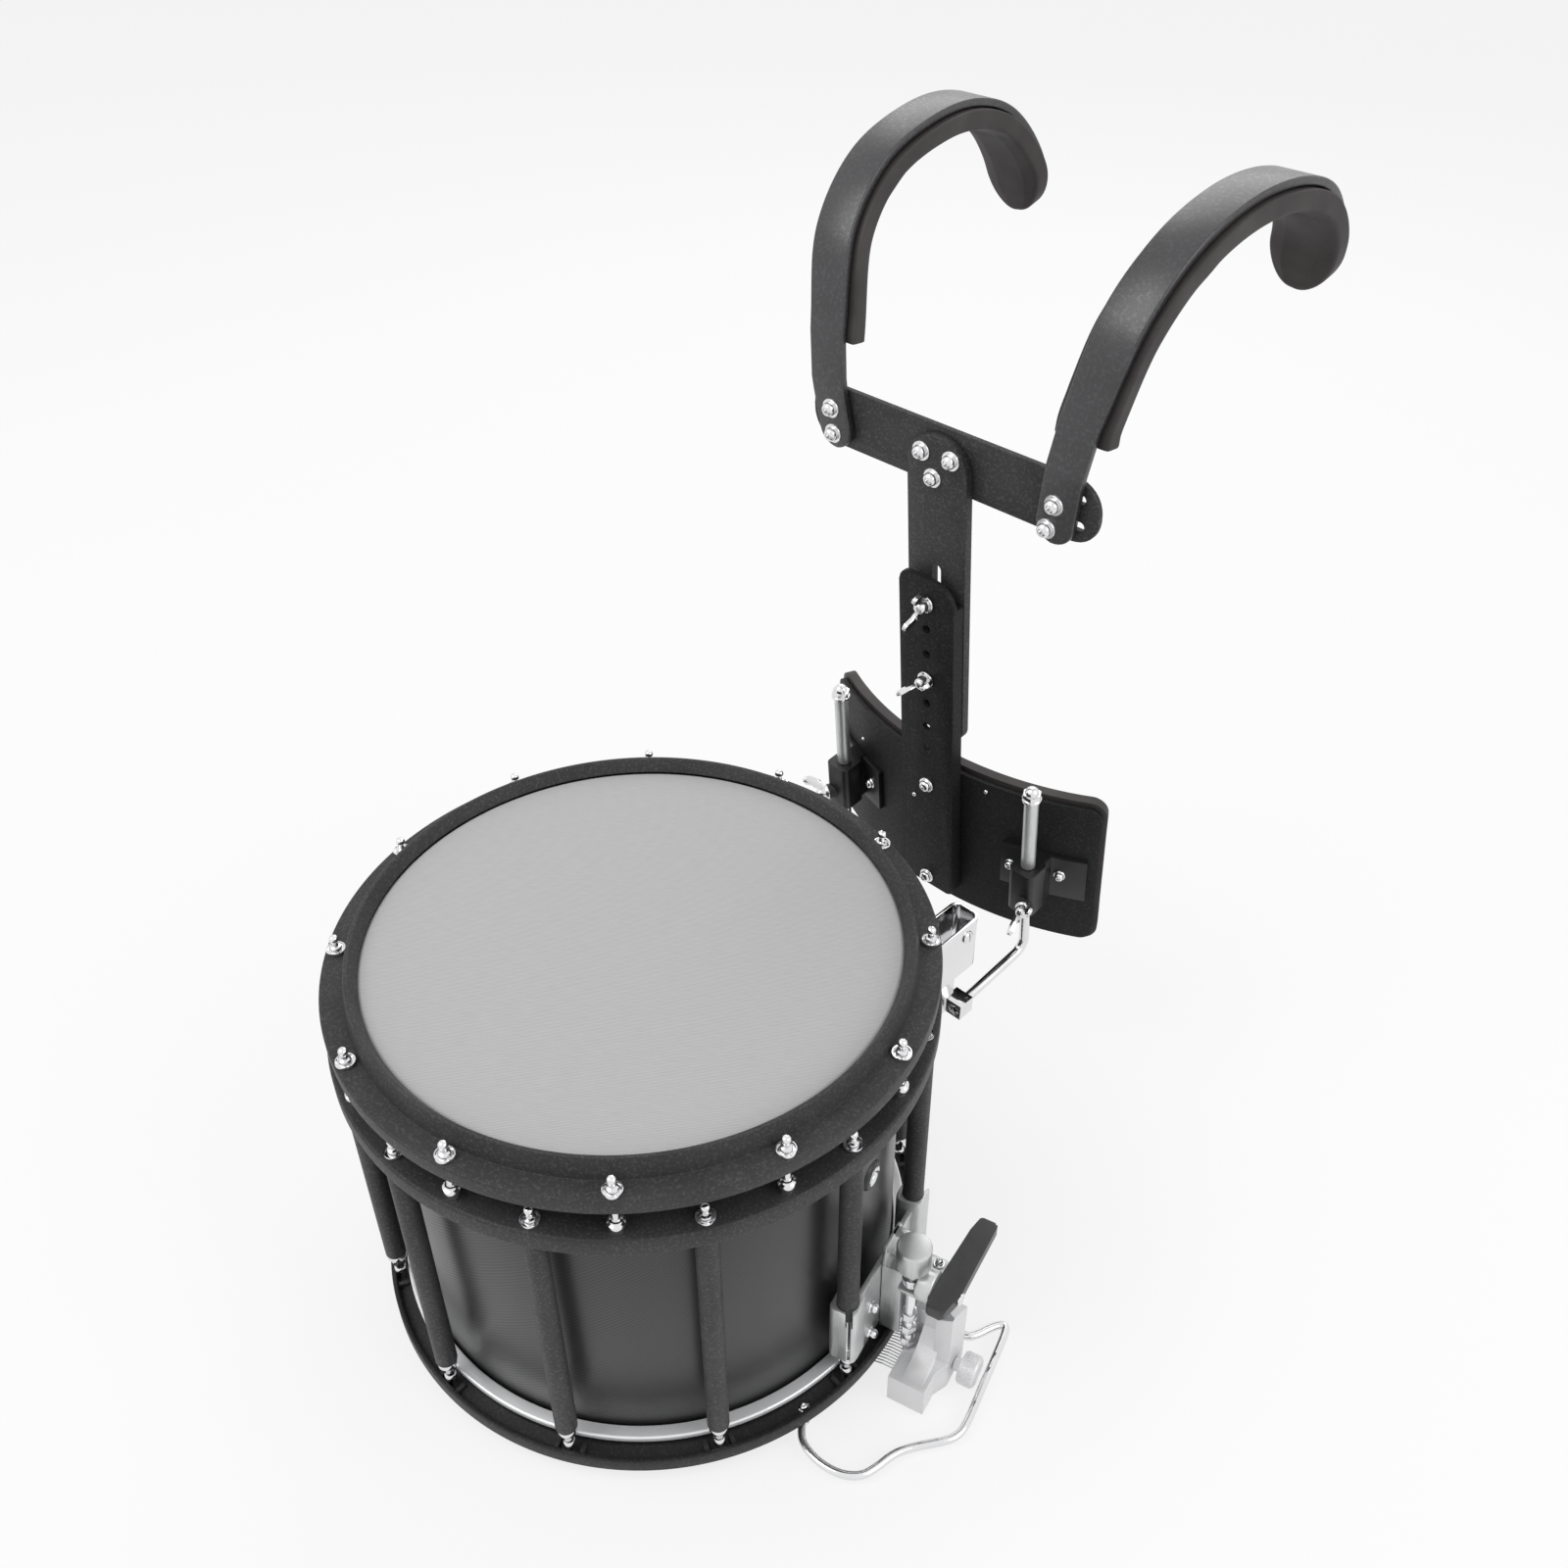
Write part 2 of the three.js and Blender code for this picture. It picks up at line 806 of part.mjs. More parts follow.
const strainerBase = plateOuter - bracketPlateReach;
const screwOut = strainerBase + seatGap + screwReach;
const guideInner = plateOuter + seatGap;
const guideFront = -tubeAside + clampWidth / 2 + guideSideGap;
const shelfOuter = guideInner + guideShelfReach;
const pivotHeight = -guideTopDrop + guideWall + pivotRise;

// An outline in the strainer's +Y and +Z, extruded out along its +X
const reached = (shape, x0, x1) => (
  solid(slab(shape, x1 - x0).rotateX(Math.PI / 2).rotateZ(Math.PI / 2).translate(x0, 0, 0))
);

// A channel screwed to the plate, with a shelf over it and a round boss for the lever's pivot
function buildStrainerGuide() {
  const [front, back] = [guideFront, guideFront + guideWidth];
  const [bottom, top] = [-guideTopDrop - guideHeight, -guideTopDrop];
  const outer = guideInner + guideDepth;
  const web = block(guideInner, guideInner + guideWall, front, back, bottom, top);
  const flanges = [front, back - guideWall].map((y) => (
    block(guideInner, outer, y, y + guideWall, bottom, top)
  ));
  const shelf = block(
    guideInner, shelfOuter,
    guideShelfFront, guideShelfFront + guideShelfWidth,
    top, top + guideWall,
  );
  const boss = pin(
    vec(shelfOuter - pivotBossLength, pivotAside, pivotHeight),
    vec(shelfOuter, pivotAside, pivotHeight),
    pivotBossDiameter,
    knobSteps,
  );
  const pivotHole = hole(
    vec(shelfOuter - pivotBossLength - overrun, pivotAside, pivotHeight),
    vec(shelfOuter + overrun, pivotAside, pivotHeight),
    pivotDiameter + 2 * holeClearance,
  );
  const screwHole = hole(
    vec(screwOut, screwAside, top - overrun),
    vec(screwOut, screwAside, top + guideWall + overrun),
    tensionScrewDiameter + 2 * slideGap,
  );
  const knobRoom = pin(
    vec(screwOut, screwAside, -tensionKnobTopDrop - tensionKnobHeight - snareDrop - slideGap),
    vec(screwOut, screwAside, top + guideWall),
    tensionCollarDiameter + 2 * slideGap,
    knobSteps,
  );
  return cut(join(web, ...flanges, shelf, cut(boss, knobRoom)), pivotHole, screwHole);
}

// Lever, turned about a pin that points out from the drum. Its plan tapers to both ends.
function buildLever() {
  const start = shelfOuter + seatGap;
  const pivotInner = screwOut + tensionCollarDiameter / 2 + slideGap;
  const outer = start + leverWidth;
  const plan = outline([
    [start + leverTaper, leverThrow - leverTaper / 4],
    [start + leverTaper / 2, leverThrow - leverTipTaperLength / 2],
    [start, leverThrow - leverTipTaperLength * 2],
    [start, -leverTail + leverTaper / 2],
    [start + leverTaper / 4, -leverTail],
    [outer - leverTaper, -leverTail],
    [outer, leverTailTaperLength - leverTail],
    [outer, leverThrow - leverTaper / 2],
    [outer - leverTaper / 4, leverThrow],
    [outer - leverTipWidth + leverTaper / 2, leverThrow],
  ]);
  const bar = risen(plan, -leverThickness / 2, leverThickness / 2);
  const pivot = pin(vec(pivotInner, 0, 0), vec(start + overrun, 0, 0), pivotDiameter);
  return join(bar, pivot);
}

function buildTensionKnob() {
  const radius = tensionKnobDiameter / 2;
  const top = -tensionKnobTopDrop;
  const bottom = top - tensionKnobHeight;
  const shaft = tensionScrewDiameter / 2;
  const collarBottom = -guideTopDrop + guideWall + snareDrop + seatGap;
  const collar = tensionCollarDiameter / 2;
  const nuts = tensionNutDrops.flatMap((drop) => [
    [shaft, -drop],
    [tensionNutDiameter / 2, -drop],
    [tensionNutDiameter / 2, -drop - tensionNutHeight],
    [shaft, -drop - tensionNutHeight],
  ]);
  return turned([
    [0, top],
    [radius - rodHeadDome, top],
    [radius, top - rodHeadDome],
    [radius, bottom],
    [shaft, bottom],
    [shaft, collarBottom + tensionCollarHeight],
    [collar, collarBottom + tensionCollarHeight],
    [collar, collarBottom],
    [shaft, collarBottom],
    ...nuts,
    [shaft, -tensionScrewBottomDrop],
    [0, -tensionScrewBottomDrop],
  ], knobSteps);
}

// Where the snares enter the jaws
const snareFlatEnd = shellRadius + snareFlatOverhang;
const snareEntry = snareFlatEnd + snareRiseLength;
const snareUnder = -drumDepth - seatGap - snareThickness / 2;
const snareHigh = snareUnder + snareRise;
const snareBand = (snareCount - 1) * snarePitch + snareThickness;
const clipWidth = snareBand + 2 * snareClipMargin;
const jawFace = strainerBase + jawInner;
const carriageFace = strainerBase + outerWallOuter;

function snareSlot(face, depth, aside) {
  const half = clipWidth / 2 + holeClearance;
  const rise = snareClipThickness / 2 + holeClearance;
  return block(face - overrun, face + depth, aside - half, aside + half, snareHigh - rise, snareHigh + rise);
}

// Cast carriage: the snares' jaw, a concave fill behind it, two walls with slanting tops,
// and a tongue that runs in the guide
function buildCarriage() {
  const bottom = -carriageBottomDrop;
  const jawTop = bottom + jawHeight;
  const [inner, outer] = [strainerBase + outerWallInner, carriageFace];
  const jaw = risen(outline([
    [jawFace, jawFront],
    [strainerBase + jawOuter, jawFront],
    [strainerBase + jawOuter, flareFront],
    [outer, outerWallFront],
    [outer, outerWallBack],
    [strainerBase + jawOuter, jawBack],
    [jawFace, jawBack],
  ]), bottom, jawTop);
  const backTop = -backWallDrop;
  const fillCurve = Array.from({ length: cornerSteps + 1 }, (_, k) => {
    const turn = (Math.PI / 2) * k / cornerSteps;
    return [
      backWallFront + (fillFront - backWallFront) * (1 - Math.sin(turn)),
      jawTop + (backTop - jawTop) * (1 - Math.cos(turn)),
    ];
  });
  const fill = reached(outline([
    [fillFront, jawTop - overrun],
    ...fillCurve,
    [outerWallBack, backTop],
    [outerWallBack, jawTop - overrun],
  ]), strainerBase + fillInner, inner + overrun);
  const backWall = block(jawFace, inner + overrun, backWallFront, outerWallBack, bottom, backTop);
  const wall = reached(outline([
    [outerWallFront, bottom],
    [outerWallBack, bottom],
    [outerWallBack, -outerWallBackDrop],
    [outerWallFront, -outerWallFrontDrop],
  ]), inner, outer);
  const slant = deepened(outline([
    [inner - overrun, -outerWallInnerDrop],
    [outer + overrun, -outerWallFrontDrop],
    [outer + overrun, 0],
    [inner - overrun, 0],
  ]), outerWallFront - overrun, outerWallBack + overrun);
  const tongueBack = guideFront + guideWidth - guideWall - slideGap;
  const tongue = block(
    guideInner + guideWall + slideGap, jawFace + overrun,
    outerWallBack - tongueWidth, tongueBack,
    backTop - tongueStep - tongueHeight, backTop - tongueStep,
  );
  const screwHole = hole(
    vec(screwOut, screwAside, -tensionScrewBottomDrop - holeClearance),
    vec(screwOut, screwAside, jawTop + overrun),
    tensionScrewDiameter + 2 * holeClearance,
  );
  const clampHole = hole(
    vec(outer - clampKnobScrewLength - overrun, clampKnobAside, -clampKnobDrop),
    vec(outer + overrun, clampKnobAside, -clampKnobDrop),
    pivotDiameter + 2 * holeClearance,
  );
  return cut(
    join(jaw, cut(fill, slant), backWall, cut(wall, slant), tongue),
    snareSlot(jawFace, snareGrip, snareAside), screwHole, clampHole,
  );
}

function buildClampKnob() {
  const radius = clampKnobDiameter / 2;
  const profile = turned([
    [0, -clampKnobScrewLength],
    [pivotDiameter / 2, -clampKnobScrewLength],
    [pivotDiameter / 2, seatGap],
    [clampKnobNeckDiameter / 2, seatGap],
    [clampKnobNeckDiameter / 2, clampKnobNeck],
    [radius, clampKnobNeck],
    [radius, clampKnobNeck + clampKnobLength - rodHeadDome],
    [radius - rodHeadDome, clampKnobNeck + clampKnobLength],
    [0, clampKnobNeck + clampKnobLength],
  ], knobSteps);
  return solid(geometryOf(profile).rotateY(Math.PI / 2));
}

add(strainer, 'strainer_bracket', buildStrainerBracket(), finishes.satin);
add(strainer, 'strainer_guide', buildStrainerGuide(), finishes.satin);
add(strainer, 'strainer_lever', buildLever(), finishes.blackPlastic, vec(0, pivotAside, pivotHeight));
add(strainer, 'snare_carriage', buildCarriage(), finishes.castSilver);
add(strainer, 'tension_knob', buildTensionKnob(), finishes.satin, vec(screwOut, screwAside, 0));
const clampKnobSeat = vec(carriageFace, clampKnobAside, -clampKnobDrop);
add(strainer, 'clamp_knob', buildClampKnob(), finishes.castSilver, clampKnobSeat);

// Snares: fine wires side by side, joined by a clip at each end

function buildSnares() {
  const ends = snareEntry + snareGrip - seatGap - snareClipLength;
  const half = snareThickness / 2;
  const wireSection = [[-half, -half], [half, -half], [half, half], [-half, half]];
  const strand = (y) => swept([
    vec(-ends, y, snareHigh),
    vec(-snareEntry, y, snareHigh),
    vec(-snareFlatEnd, y, snareUnder),
    vec(snareFlatEnd, y, snareUnder),
    vec(snareEntry, y, snareHigh),
    vec(ends + jawFace - snareEntry, y, snareHigh),
  ], () => wireSection, vec(0, 1, 0));
  const strands = Array.from({ length: snareCount }, (_, k) => (
    strand(snareAside + (k - (snareCount - 1) / 2) * snarePitch)
  ));
  const clip = (x0, x1) => block(
    x0, x1,
    snareAside - clipWidth / 2, snareAside + clipWidth / 2,
    snareHigh - snareClipThickness / 2, snareHigh + snareClipThickness / 2,
  );
  const far = jawFace + snareGrip - seatGap;
  const near = snareEntry + snareGrip - seatGap;
  return join(...strands, clip(far - snareClipLength, far), clip(-near, -near + snareClipLength));
}

add(strainer, 'snare_wires', buildSnares(), finishes.wire);

// Butt on the two tubes that face the strainer, in the strainer's directions

const buttClampTopDrop = tubeBottomDrop + buttClampLap - buttClampHeight;

function buildButt() {
  const clamps = [-1, 1].map((side) => {
    const y = side * tubeAside;
    const bottom = -buttClampTopDrop - buttClampHeight;
    const bore = hole(
      vec(tubeOut, y, bottom - overrun),
      vec(tubeOut, y, -buttClampTopDrop + overrun),
      tubeDiameter + 2 * seatGap,
      tubeSteps,
    );
    return cut(tubeClamp(side, -buttClampTopDrop, buttClampHeight), bore);
  });
  const shelfBottom = -buttShelfDrop - buttShelfThickness;
  const plate = block(
    plateInner, plateOuter,
    -tubeAside + clampWidth / 2 - plateLap, tubeAside - clampWidth / 2 + plateLap,
    shelfBottom, -buttPlateTopDrop,
  );
  const near = hoopOuter + buttJawGap;
  const far = near + buttJawThickness;
  const [front, back] = [-snareAside - buttJawWidth / 2, -snareAside + buttJawWidth / 2];
  const shelf = block(plateInner, far, front, back, shelfBottom, -buttShelfDrop);
  const jaw = block(near, far, front, back, -buttJawBottomDrop, -buttShelfDrop);
  return cut(
    join(clamps[0], clamps[1], plate, shelf, jaw),
    snareSlot(near, buttJawThickness + overrun, -snareAside),
  );
}

const butt = add(strainer, 'butt_plate', buildButt(), finishes.satin);
butt.rotation.z = Math.PI;

// Guard of bent wire, fixed under the snare hoop

function buildGuard() {
  const z = -drumDepth + flangeDrop - seatGap - guardWireDiameter / 2;
  const corners = [
    [guardFootReach, -guardFootAside],
    [guardNearReach - (guardNearAside - guardFootAside), -guardNearAside],
    [guardNearReach, -guardNearAside],
    [guardKneeReach, -guardKneeAside],
    [guardRun, -guardRunNear],
    [guardRun, guardRunFar],
    [guardReturnReach, guardReturnAside],
    [guardHeelReach, guardHeelAside],
    [guardElbowReach, guardElbowAside],
    [guardEndReach, guardEndAside],
  ].map(([reach, aside]) => vec(hoopOuter + reach, aside, z));
  return bentWire(corners, guardBend, guardWireDiameter, vec(0, 0, 1));
}

add(strainer, 'snare_guard', buildGuard(), finishes.chrome);

// Carrier. Its frame leans back onto the player. +Y is depth, +Z is up along the column.

const carrier = new THREE.Group();
carrier.position.set(0, hoopOuter + columnStandoff, -plateBoltDrop);
carrier.rotation.x = rad(carrierLeanDegrees);
drum.add(carrier);
carrier.updateMatrixWorld(true);
const inDrum = (point) => point.clone().applyMatrix4(carrier.matrixWorld);

const hookAside = rodCircle * Math.cos(rad(bracketTubeDegrees)) - hookInset;
const plateHalfWidth = hookAside + plateBeyondHook;
const plateFront = columnDepth + seatGap;
const arcCentre = plateFront + plateRadius;
const columnHoles = Array.from({ length: columnHoleCount }, (_, k) => columnHoleTop - k * columnHolePitch);

// Column: a channel, open behind and at its top, where its front ends in an arch
function buildColumn() {
  const half = columnWidth / 2;
  const shape = roundedOutline(-half, half, columnBottom, columnTop, [
    columnFoot, columnFoot, columnCorner, columnCorner,
  ]);
  const body = deepened(shape, 0, columnDepth);
  const hollow = block(
    -half + columnWall, half - columnWall,
    columnWall, columnDepth + overrun,
    columnBottom + columnHollowEnd, columnTop,
  );
  const openTop = block(
    -half - overrun, half + overrun,
    columnWall, columnDepth + overrun,
    columnTop - columnCorner, columnTop + overrun,
  );
  const holes = columnHoles.map((z) => hole(
    vec(0, -overrun, z),
    vec(0, columnWall + overrun, z),
    columnHoleDiameter,
  ));
  return cut(body, hollow, openTop, ...holes);
}

// A curved sheet in front of the player, between two radii and two angles from the middle
function arcSheet(innerRadius, outerRadius, fromTurn, toTurn, z0, z1, steps) {
  const plan = [];
  for (let k = 0; k <= steps; k += 1) {
    const turn = fromTurn + (toTurn - fromTurn) * k / steps;
    plan.push([outerRadius * Math.sin(turn), arcCentre - outerRadius * Math.cos(turn)]);
  }
  for (let k = steps; k >= 0; k -= 1) {
    const turn = fromTurn + (toTurn - fromTurn) * k / steps;
    plan.push([innerRadius * Math.sin(turn), arcCentre - innerRadius * Math.cos(turn)]);
  }
  return risen(outline(plan), z0, z1);
}

function plateSheet(innerRadius, outerRadius, inset) {
  const half = plateHalfWidth - inset;
  const turn = Math.asin(half / innerRadius) + overrun / innerRadius;
  const sheet = arcSheet(
    innerRadius, outerRadius, -turn, turn,
    plateBottom - overrun, plateTop + overrun, tubeSteps * 2,
  );
  const shape = roundedOutline(-half, half, plateBottom + inset, plateTop - inset, [
    plateCorner, plateCorner, plateCorner, plateCorner,
  ]);
  return sheet.intersect(deepened(shape, 0, plateRadius));
}

const plateInnerRadius = plateRadius - plateThickness;
const padOuterRadius = plateInnerRadius - seatGap;
add(carrier, 'carrier_column', buildColumn(), finishes.powder);
add(carrier, 'belly_plate', plateSheet(plateInnerRadius, plateRadius, 0), finishes.powder);
const bellyPad = plateSheet(padOuterRadius - bellyPadThickness, padOuterRadius, bellyPadInset);
add(carrier, 'belly_pad', bellyPad, finishes.foam);

// Clamp blocks, hooked rods, drum brackets and their wing screws, right then left

const blockBottom = blockTop - blockHeight;
const hookTurn = Math.asin(hookAside / plateRadius);
const sides = [['right', 1], ['left', -1]];

function mirrored(body, side) {
  return side > 0 ? body : solid(geometryOf(body).scale(-1, 1, 1));
}

function clampScrewAxis(side) {
  const turn = rad(clampScrewDegrees);
  return vec(side * Math.sin(turn), -Math.cos(turn), 0);
}

function buildClampBlock() {
  const half = blockWidth / 2;
  const outerRadius = plateRadius + seatGap;
  const plan = roundedOutline(
    hookAside - half, hookAside + half,
    hookDepth - blockFront, hookDepth + blockFront,
    [blockCorner, blockCorner, blockCorner, blockCorner],
  );
  const boss = risen(plan, blockBottom, blockTop);
  const web = block(
    hookAside - blockWebWidth / 2, hookAside + blockWebWidth / 2,
    hookDepth, arcCentre - plateRadius * Math.cos(hookTurn) + overrun,
    blockBottom, blockTop,
  );
  const sweep = rad(blockFlangeDegrees) / 2;
  const flange = arcSheet(
    outerRadius, outerRadius + blockFlangeThickness,
    hookTurn - sweep, hookTurn + sweep,
    blockBottom + blockFlangeMargin, blockTop - blockFlangeMargin, cornerSteps,
  );
  const steps = tubeSteps * 12;
  const roomHeight = blockHeight + 2 * overrun;
  const plateRoom = solid(new THREE.CylinderGeometry(outerRadius, outerRadius, roomHeight, steps)
    .rotateX(Math.PI / 2).translate(0, arcCentre, (blockTop + blockBottom) / 2));
  const bore = hole(
    vec(hookAside, hookDepth, blockBottom - overrun),
    vec(hookAside, hookDepth, blockTop + overrun),
    hookDiameter + 2 * holeClearance,
  );
  const axis = clampScrewAxis(1);
  const middle = vec(hookAside, hookDepth, blockBottom + clampScrewRise);
  const bossEnd = middle.clone().addScaledVector(axis, clampScrewBossReach);
  const screwBoss = pin(middle, bossEnd, clampScrewBossDiameter, tubeSteps);
  const holeEnd = middle.clone().addScaledVector(axis, blockWidth);
  const screwHole = hole(middle, holeEnd, wingShankDiameter + 2 * holeClearance);
  return cut(join(cut(web, plateRoom), boss, flange, screwBoss), bore, screwHole);
}

function buildHook() {
  const wire = bentWire([
    vec(hookAside, hookDepth, hookTop),
    vec(hookAside, hookDepth, hookBottom),
    vec(hookAside, hookEndDepth, hookBottom),
  ], hookBend, hookDiameter, vec(1, 0, 0));
  const sleeveFoot = blockTop + seatGap;
  const nut = domeNutDiameter / 2;
  const dressing = turned([
    [0, hookTop + domeNutHeight],
    [nut - domeHeight, hookTop + domeNutHeight],
    [nut, hookTop + domeNutHeight - domeHeight],
    [nut, hookTop],
    [sleeveDiameter / 2, hookTop],
    [sleeveDiameter / 2, sleeveFoot],
    [0, sleeveFoot],
  ], tubeSteps);
  return join(wire, solid(geometryOf(dressing).translate(hookAside, hookDepth, 0)));
}

// A wing screw along +Z: its seat is at zero, its shank goes down, its wings stand up
function buildWingScrew(shankLength, nutDepth) {
  const shank = wingShankDiameter / 2;
  const hub = wingHubDiameter / 2;
  const tail = nutDepth > 0 ? [
    [shank, -nutDepth],
    [wingNutDiameter / 2, -nutDepth],
    [wingNutDiameter / 2, -nutDepth - wingNutThickness],
    [shank, -nutDepth - wingNutThickness],
  ] : [];
  const core = turned([
    [0, wingHubHeight],
    [hub - rodHeadDome, wingHubHeight],
    [hub, wingHubHeight - rodHeadDome],
    [hub, seatGap],
    [shank, seatGap],
    ...tail,
    [shank, -shankLength],
    [0, -shankLength],
  ], holeSteps);
  const side = wingOutlineShares.map(([out, up]) => [out * wingSpan / 2, up * wingRise]);
  const otherSide = side.slice(0, -1).reverse().map(([x, z]) => [-x, z]);
  const wing = outline([...side, ...otherSide]);
  return join(core, deepened(wing, -wingThickness / 2, wingThickness / 2));
}

function addWingScrew(parent, name, body, material, seat, axis, spin) {
  const mesh = add(parent, name, body, material, seat);
  mesh.quaternion.setFromUnitVectors(vec(0, 0, 1), axis.clone().normalize());
  mesh.rotateZ(rad(spin));
  return mesh;
}

const blockScrewGrip = clampScrewBossReach - hookDiameter / 2 - seatGap;
for (const [name, side] of sides) {
  add(carrier, `clamp_block_${name}`, mirrored(buildClampBlock(), side), finishes.blackPlastic);
  add(carrier, `hooked_rod_${name}`, mirrored(buildHook(), side), finishes.chrome);
  const axis = clampScrewAxis(side);
  const seat = vec(side * hookAside, hookDepth, blockBottom + clampScrewRise)
    .addScaledVector(axis, clampScrewBossReach);
  const screw = buildWingScrew(blockScrewGrip, 0);
  addWingScrew(carrier, `clamp_screw_${name}`, screw, finishes.chrome, seat, axis, blockScrewDegrees);
}

// Drum brackets. Each wraps a tube of the drum and holds the end of a hooked rod in an eye.

const tubeSpot = onCircle(bracketTubeDegrees, 0);
const hookEnd = inDrum(vec(hookAside, hookEndDepth, hookBottom));
const eyeY = hookEnd.y + eyeLength / 2 - eyeBack;
const eyeAlong = vec(0, Math.cos(carrier.rotation.x), Math.sin(carrier.rotation.x));
const eyeMiddle = hookEnd.clone().addScaledVector(eyeAlong, (eyeY - hookEnd.y) / eyeAlong.y);
const innerFace = tubeSpot.x - bracketWidth / 2;

function buildDrumBracket() {
  const [x0, x1] = [innerFace, tubeSpot.x + bracketWidth / 2];
  const [top, bottom] = [-bracketTopDrop, -bracketTopDrop - bracketHeight];
  const front = tubeSpot.y + bracketReach;
  const back = tubeSpot.y + bracketJawFront - overrun;
  const outside = roundedOutline(x0, x1, back, front, [0, 0, bracketCorner, bracketCorner]);
  const innerCorner = bracketCorner - sheetThickness;
  const inside = roundedOutline(
    x0 + sheetThickness, x1 - sheetThickness,
    back - overrun, front - sheetThickness,
    [0, 0, innerCorner, innerCorner],
  );
  const sheet = cut(risen(outside, bottom, top), risen(inside, bottom - overrun, top + overrun));
  const jaw = cut(
    block(x0, x1, tubeSpot.y - bracketJawBack, tubeSpot.y + bracketJawFront, bottom, top),
    hole(
      tubeSpot.clone().setZ(bottom - overrun),
      tubeSpot.clone().setZ(top + overrun),
      tubeDiameter + 2 * seatGap,
      tubeSteps,
    ),
  );
  const eyeTop = eyeMiddle.z + eyeHeight / 2;
  const tongue = block(
    x0, x0 + sheetThickness,
    front - bracketCorner - tongueDepth / 2, front - bracketCorner + tongueDepth / 2,
    eyeTop - eyeHeight, bottom + sheetThickness,
  );
  const eye = block(
    x0, x0 + eyeWidth,
    eyeY - eyeLength / 2, eyeY + eyeLength / 2,
    eyeTop - eyeHeight, eyeTop,
  );
  const bore = hole(
    eyeMiddle.clone().addScaledVector(eyeAlong, -eyeLength),
    eyeMiddle.clone().addScaledVector(eyeAlong, eyeLength),
    hookDiameter + 2 * holeClearance,
  );
  const screwHole = hole(
    eyeMiddle.clone().setX(x0 - overrun),
    eyeMiddle,
    wingShankDiameter + 2 * holeClearance,
  );
  const tongueKept = cut(tongue, block(
    x0 - overrun, x0 + bracketWidth, front, front + tongueDepth, bottom, top,
  ));
  return cut(join(sheet, jaw, tongueKept, eye), bore, screwHole);
}

const eyeScrewGrip = eyeMiddle.x - hookDiameter / 2 - seatGap - innerFace;
for (const [name, side] of sides) {
  add(drum, `drum_bracket_${name}`, mirrored(buildDrumBracket(), side), finishes.chrome);
  const seat = vec(side * (innerFace - seatGap), eyeMiddle.y, eyeMiddle.z);
  const screw = buildWingScrew(eyeScrewGrip, 0);
  const axis = vec(-side, 0, 0);
  addWingScrew(drum, `bracket_screw_${name}`, screw, finishes.blackPlastic, seat, axis, bracketScrewDegrees);
}

// Stem, cross bar and the two wing screws that set their height

const stemFront = columnDepth + seatGap;
const stemBack = stemFront + stemThickness;
const barFront = stemBack + seatGap;

// A slot's outline, with ends that are almost half round
function slotOutline(x0, x1, z0, z1, halfSlot) {
  const radius = halfSlot * slotRoundShare;
  return roundedOutline(x0, x1, z0, z1, [radius, radius, radius, radius]);
}

function buildStem() {
  const half = stemWidth / 2;
  const shape = roundedOutline(-half, half, stemBottom, stemTop, [
    stemFootCorner, stemFootCorner, stemCorner, stemCorner,
  ]);
  const slot = stemSlotWidth / 2;
  const slotShape = slotOutline(-slot, slot, stemSlotBottom, stemSlotTop, slot);
  return cut(
    deepened(shape, stemFront, stemBack),
    deepened(slotShape, stemFront - overrun, stemBack + overrun),
  );
}

function buildBar() {
  const half = barLength / 2;
  const [bottom, top] = [barCentre - barHeight / 2, barCentre + barHeight / 2];
  const shape = roundedOutline(-half, half, bottom, top, [barCorner, barCorner, barCorner, barCorner]);
  const slot = barSlotWidth / 2;
  const slots = [-1, 1].flatMap((side) => [-1, 1].map((row) => {
    const far = half - barSlotMargin;
    const [x0, x1] = [side * far, side * (far - barSlotLength)].sort((a, b) => a - b);
    const z = barCentre + row * barSlotPitch / 2;
    const slotShape = slotOutline(x0, x1, z - slot, z + slot, slot);
    return deepened(slotShape, barFront - overrun, barFront + barThickness + overrun);
  }));
  return cut(deepened(shape, barFront, barFront + barThickness), ...slots);
}

add(carrier, 'carrier_stem', buildStem(), finishes.powder);
add(carrier, 'cross_bar', buildBar(), finishes.powder);

const heightScrewNut = stemBack + 2 * seatGap;
const heightScrew = buildWingScrew(heightScrewNut + wingNutThickness + sheetThickness, heightScrewNut);
const heightScrewSpots = [['upper', 0, upperScrewDegrees], ['lower', lowerScrewHole, lowerScrewDegrees]];
for (const [name, holeIndex, spin] of heightScrewSpots) {
  const seat = vec(0, -seatGap, columnHoles[holeIndex]);
  addWingScrew(carrier, `height_screw_${name}`, heightScrew, finishes.chrome, seat, vec(0, -1, 0), spin);
}

// Shoulder arms and their pads

const armFront = barFront - seatGap - armThickness;
const archCurve = new THREE.CatmullRomCurve3(armCourseShares.map(([out, away, up]) => vec(
  armStartAside + out * armSplay,
  armStartDepth + away * armReach,
  armStart + up * armRise,
)), false, 'centripetal');

// Half the width along the arch: the step at its start, then a paddle with a round end
function halfWidthAt(share, width) {
  const paddleShare = THREE.MathUtils.smoothstep(share, paddleFromShare, paddleFullShare);
  const full = (width + paddleShare * (armPaddleWidth - armWidth)) / 2;
  const tip = Math.max(0, (share - tipFromShare) / (1 - tipFromShare));
  return full * Math.max(Math.sqrt(1 - tip * tip), tipLeastShare);
}

const flatSection = (half, from, to) => [[-half, from], [half, from], [half, to], [-half, to]];

const archShares = [
  armStepShare,
  ...Array.from({ length: armSteps }, (_, k) => (k + 1) / armSteps),
  tipStationShare,
].sort((a, b) => a - b);

